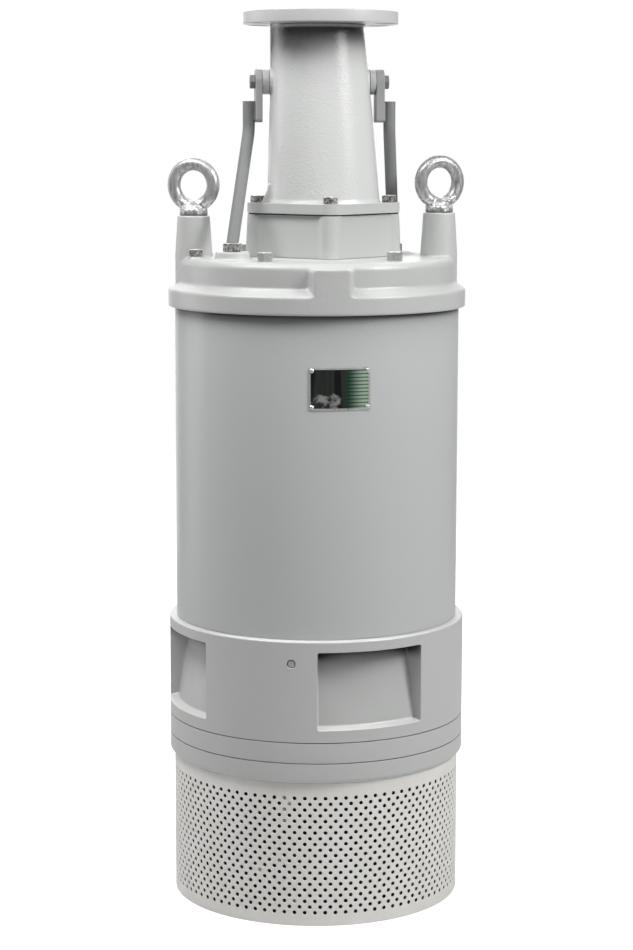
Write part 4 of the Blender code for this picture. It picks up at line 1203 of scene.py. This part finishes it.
def base_flange():
    """The square flange under the neck, with its corners rounded and two pits from casting."""
    corners = [(*polar(BASE_CORNER_R, k * pi / 2), BASE_ROUND) for k in range(4)]
    body = plate("base_flange", rounded(corners), NECK_LOW - BASE_HIGH, 0.0, 0.001)
    cuts = [bore("flange_bore", BORE_R, NECK_LOW - BASE_HIGH, 0)]
    for along, z in BASE_PITS:
        pit = lathe("pit", [(0, 0.0016), (0.0012, 0), (0, -0.0016)], 12)
        cuts.append((pit, (-along, along - BASE_CORNER_R, z)))
    return combine(body, cuts)


def discharge_flange():
    """Turned flange with a raised face, bolt holes and a spot face under each."""
    rim_high = FLANGE_HIGH - FLANGE_FACE
    body = lathe(
        "flange_ring",
        [(BORE_R, FLANGE_HIGH, 0.001), (FLANGE_FACE_R, FLANGE_HIGH, 0.0005),
         (FLANGE_FACE_R, rim_high, 0.0005), (FLANGE_R, rim_high, 0.0015), (FLANGE_R, FLANGE_LOW, 0.0015),
         (BORE_R, FLANGE_LOW)],
        closed=True,
    )
    hole = bore("flange_hole", FLANGE_HOLE_R, FLANGE_LOW, FLANGE_HIGH, 32)
    spot = disc("flange_spot", FLANGE_SPOT_R, FLANGE_LOW - THROUGH, FLANGE_LOW + 0.0008, steps=32)
    cuts = []
    for k in range(FLANGE_BOLTS):
        place = (*polar(FLANGE_BOLT_R, (k + 0.5) * tau / FLANGE_BOLTS), 0)
        cuts += [(hole, place), (spot, place)]
    return combine(body, cuts)


def build_neck():
    foot = (COLUMN_X, 0, BASE_HIGH)
    nodes = ["discharge_neck"]
    add_piece("neck_casting", neck_casting(), NECK_CAST, nodes, foot, soft=CAST_ANGLE)
    add_piece("base_flange", base_flange(), CAST, nodes, foot, even=True)
    add_piece("flange_ring", discharge_flange(), CAST, nodes, (FLANGE_X, 0, 0))


def stay_outline():
    """A stay plate's side view: rounded lower corners and round about the bolt at its top."""
    low = STRAP_LOW - STAY_Z
    crown = arc((0, 0), STAY_R, 0, pi, 16)
    foot = rounded([(-STAY_R, 0), (-STAY_R, low, 0.006), (STAY_R, low, 0.006), (STAY_R, 0)])
    return [*crown[:-1], *foot[:-1]]


def rod_path(top_x, foot):
    """The centres of a stay rod: straight down beside its plate, a soft bend, then down to its nut."""
    top, straight, start, bend = [Vector((top_x, 0, z)) for z in (ROD_TOP, ROD_STRAIGHT, BEND_TOP, BEND_Z)]
    end = bend + (foot - bend).normalized() * BEND_REACH
    steps = [k / 6 for k in range(7)]
    curve = [start * (1 - t) ** 2 + bend * (2 * t * (1 - t)) + end * t ** 2 for t in steps]
    return [top, straight, *curve, *[end + (foot - end) * t for t in (0.25, 0.5, 0.75, 1.05)]]


def build_stays():
    head = hex_head("stay_head", HEAD, 0.0085, 0.0005, 0.0010)
    nut = hex_head("rod_nut", NUT, 0.0140, 0.0010, 0.0012)
    middle = (0, 0, STAY_Z)
    for side, (name, boss, spacer, outer) in STAYS.items():
        turn = (0, side * pi / 2, 0)
        ring = disc("stay_washer", STAY_R, boss + GAP, spacer, 0.0008, 0.0008)
        add_piece(f"stay_washer_{name}", ring, CAST, [f"stay_spacer_{name}"], middle, turn)
        flat = plate("stay_strap", stay_outline(), spacer + GAP, outer, 0.0012)
        add_piece(f"stay_strap_{name}", flat, STRAP_SHADED_PAINT, [f"stay_plate_{name}"], middle,
                  (pi / 2, 0, side * pi / 2), even=True)
        at = (side * (outer + GAP), 0, STAY_Z)
        add_piece(f"stay_head_{name}", head, STAY_SHADED_PAINT, [f"stay_bolt_{name}"], at, turn)
        x, y, pad = STAY_FEET[side]
        at = (x, y, pad + GAP)
        turn = (0, 0, radians(15 * (1 - side)))
        add_piece(f"rod_nut_{name}", nut, WORN_BOLT, [f"stay_nut_{name}"], at, turn)
        build_rod(side, name, side * (outer + GAP + ROD_R), Vector((x, y, pad + NUT_TOP)))


def build_rod(side, name, top_x, foot):
    """The bar, trimmed level on its nut, and the weld that holds it to its plate."""
    bar = tube("stay_bar", rod_path(top_x, foot), ROD_R, 12)
    level = disc("rod_level", 0.03, foot.z - 0.03, foot.z, steps=24)
    bar = combine(bar, [(level, (foot.x, foot.y, 0))])
    add_piece(f"stay_bar_{name}", bar, STAY_SHADED_PAINT, [f"stay_rod_{name}"], even=True)
    beads = []
    for front in (-1, 1):
        line = [(top_x - side * (ROD_R - 0.001), front * BEAD_Y, z) for z in (BEAD_LOW, BEAD_HIGH)]
        beads.append(tube("weld", line, BEAD_R, 4))
    weld = cast("weld", beads, 0.0009, 2, 8000)
    add_piece(f"stay_weld_{name}", weld, STAY_SHADED_PAINT)


def build_gland():
    seat = GLAND_SEAT_Z + GAP
    body = lathe(
        "gland_body",
        [(GLAND_R, GLAND_FOOT, 0.0015), (GLAND_R, 0, 0.0006), (GLAND_BORE_R, 0),
         (GLAND_BORE_R, GLAND_HIGH, 0.001), (GLAND_NECK_R, GLAND_HIGH, 0.0015),
         (GLAND_NECK_R, GLAND_FOOT, 0.003)],
        SMALL_STEPS, closed=True,
    )
    add_piece("gland_body", body, CAST, ["cable_gland_body"], (0, GLAND_Y, seat))
    low = seat + GLAND_HIGH + GAP
    height = GLAND_TOP_Z - low
    nut = plate("gland_nut", hexagon(GLAND_NUT_R, 0.0015), 0, height, 0.001)
    nut = combine(nut, [bore("gland_bore", GLAND_BORE_R, 0, height)])
    add_piece("gland_nut", nut, CAST, ["cable_gland_nut"], (0, GLAND_Y, low), even=True)


def soft_light(name, azimuth, elevation, distance, size, watts):
    """A rectangular softbox that faces the middle of the pump."""
    lamp = bpy.data.lights.new(name, "AREA")
    lamp.shape = "RECTANGLE"
    lamp.size, lamp.size_y = size
    lamp.energy = watts
    x, y = polar(distance * cos(elevation), azimuth)
    away = Vector((x, y, distance * sin(elevation)))
    made = new_object(name, lamp, Vector((0, 0, LIGHT_CENTRE)) + away)
    made.rotation_euler = away.to_track_quat("Z", "Y").to_euler()


def studio():
    """White backdrop, an even room that is darker in front, and large soft lights."""
    world = bpy.data.worlds.new("studio")
    bpy.context.scene.world = world
    world.use_nodes = True
    sky = Nodes(world.node_tree, "Generated")
    room = sky.tree.nodes["Background"]
    sky.feed(room.inputs["Color"], 1.0)
    sky.feed(room.inputs["Strength"], sky.ranged(sky.split()["Y"], 0.0, 0.8, ROOM_FRONT, ROOM_BACK))
    white = sky.add("ShaderNodeBackground", {"Color": 1.0})
    seen = sky.add("ShaderNodeLightPath").outputs["Is Camera Ray"]
    shaders = {1: room.outputs["Background"], 2: white.outputs["Background"]}
    choice = sky.add("ShaderNodeMixShader", {0: seen, **shaders})
    sky.feed(sky.tree.nodes["World Output"].inputs["Surface"], choice.outputs["Shader"])
    for name, azimuth, elevation, *rest in STUDIO_LIGHTS:
        soft_light(name, radians(azimuth), radians(elevation), *rest)


def pale_floor():
    work = edit()
    bmesh.ops.create_circle(work, cap_ends=True, segments=96, radius=FLOOR_R)
    mesh = stored(work, "floor")
    made = Finish("pale_floor", 0.5, 0.8)
    seen = made.add("ShaderNodeLightPath").outputs["Is Camera Ray"]
    glow = made.ranged(seen, 0.0, 1.0, FLOOR_BOUNCE, 1.0)
    made.set({"Emission Color": 1.0, "Emission Strength": glow})
    mesh.materials.append(made.material)
    new_object("floor", mesh, (0, 0, -0.0005))


def camera():
    data = bpy.data.cameras.new("camera")
    data.lens = CAMERA_LENS
    data.sensor_width = 36.0
    data.clip_end = 50.0
    made = new_object("camera", data)
    x, y = polar(CAMERA_DISTANCE, CAMERA_AZIMUTH)
    turn = Matrix.Rotation(CAMERA_AZIMUTH, 4, "Z") @ Matrix.Rotation(pi / 2 - CAMERA_PITCH, 4, "X")
    place = Matrix.Translation((x, y, CAMERA_HEIGHT))
    made.matrix_world = place @ turn @ Matrix.Rotation(CAMERA_ROLL, 4, "Z")
    bpy.context.scene.camera = made


camera()
studio()
pale_floor()
build_strainer()
build_suction_and_diffuser()
build_casing()
build_sleeve()
build_nameplate()
build_cover()
build_bolts()
build_eyes()
build_riser()
build_gasket()
build_neck()
build_stays()
build_gland()

bpy.context.scene.view_settings.view_transform = "Standard"
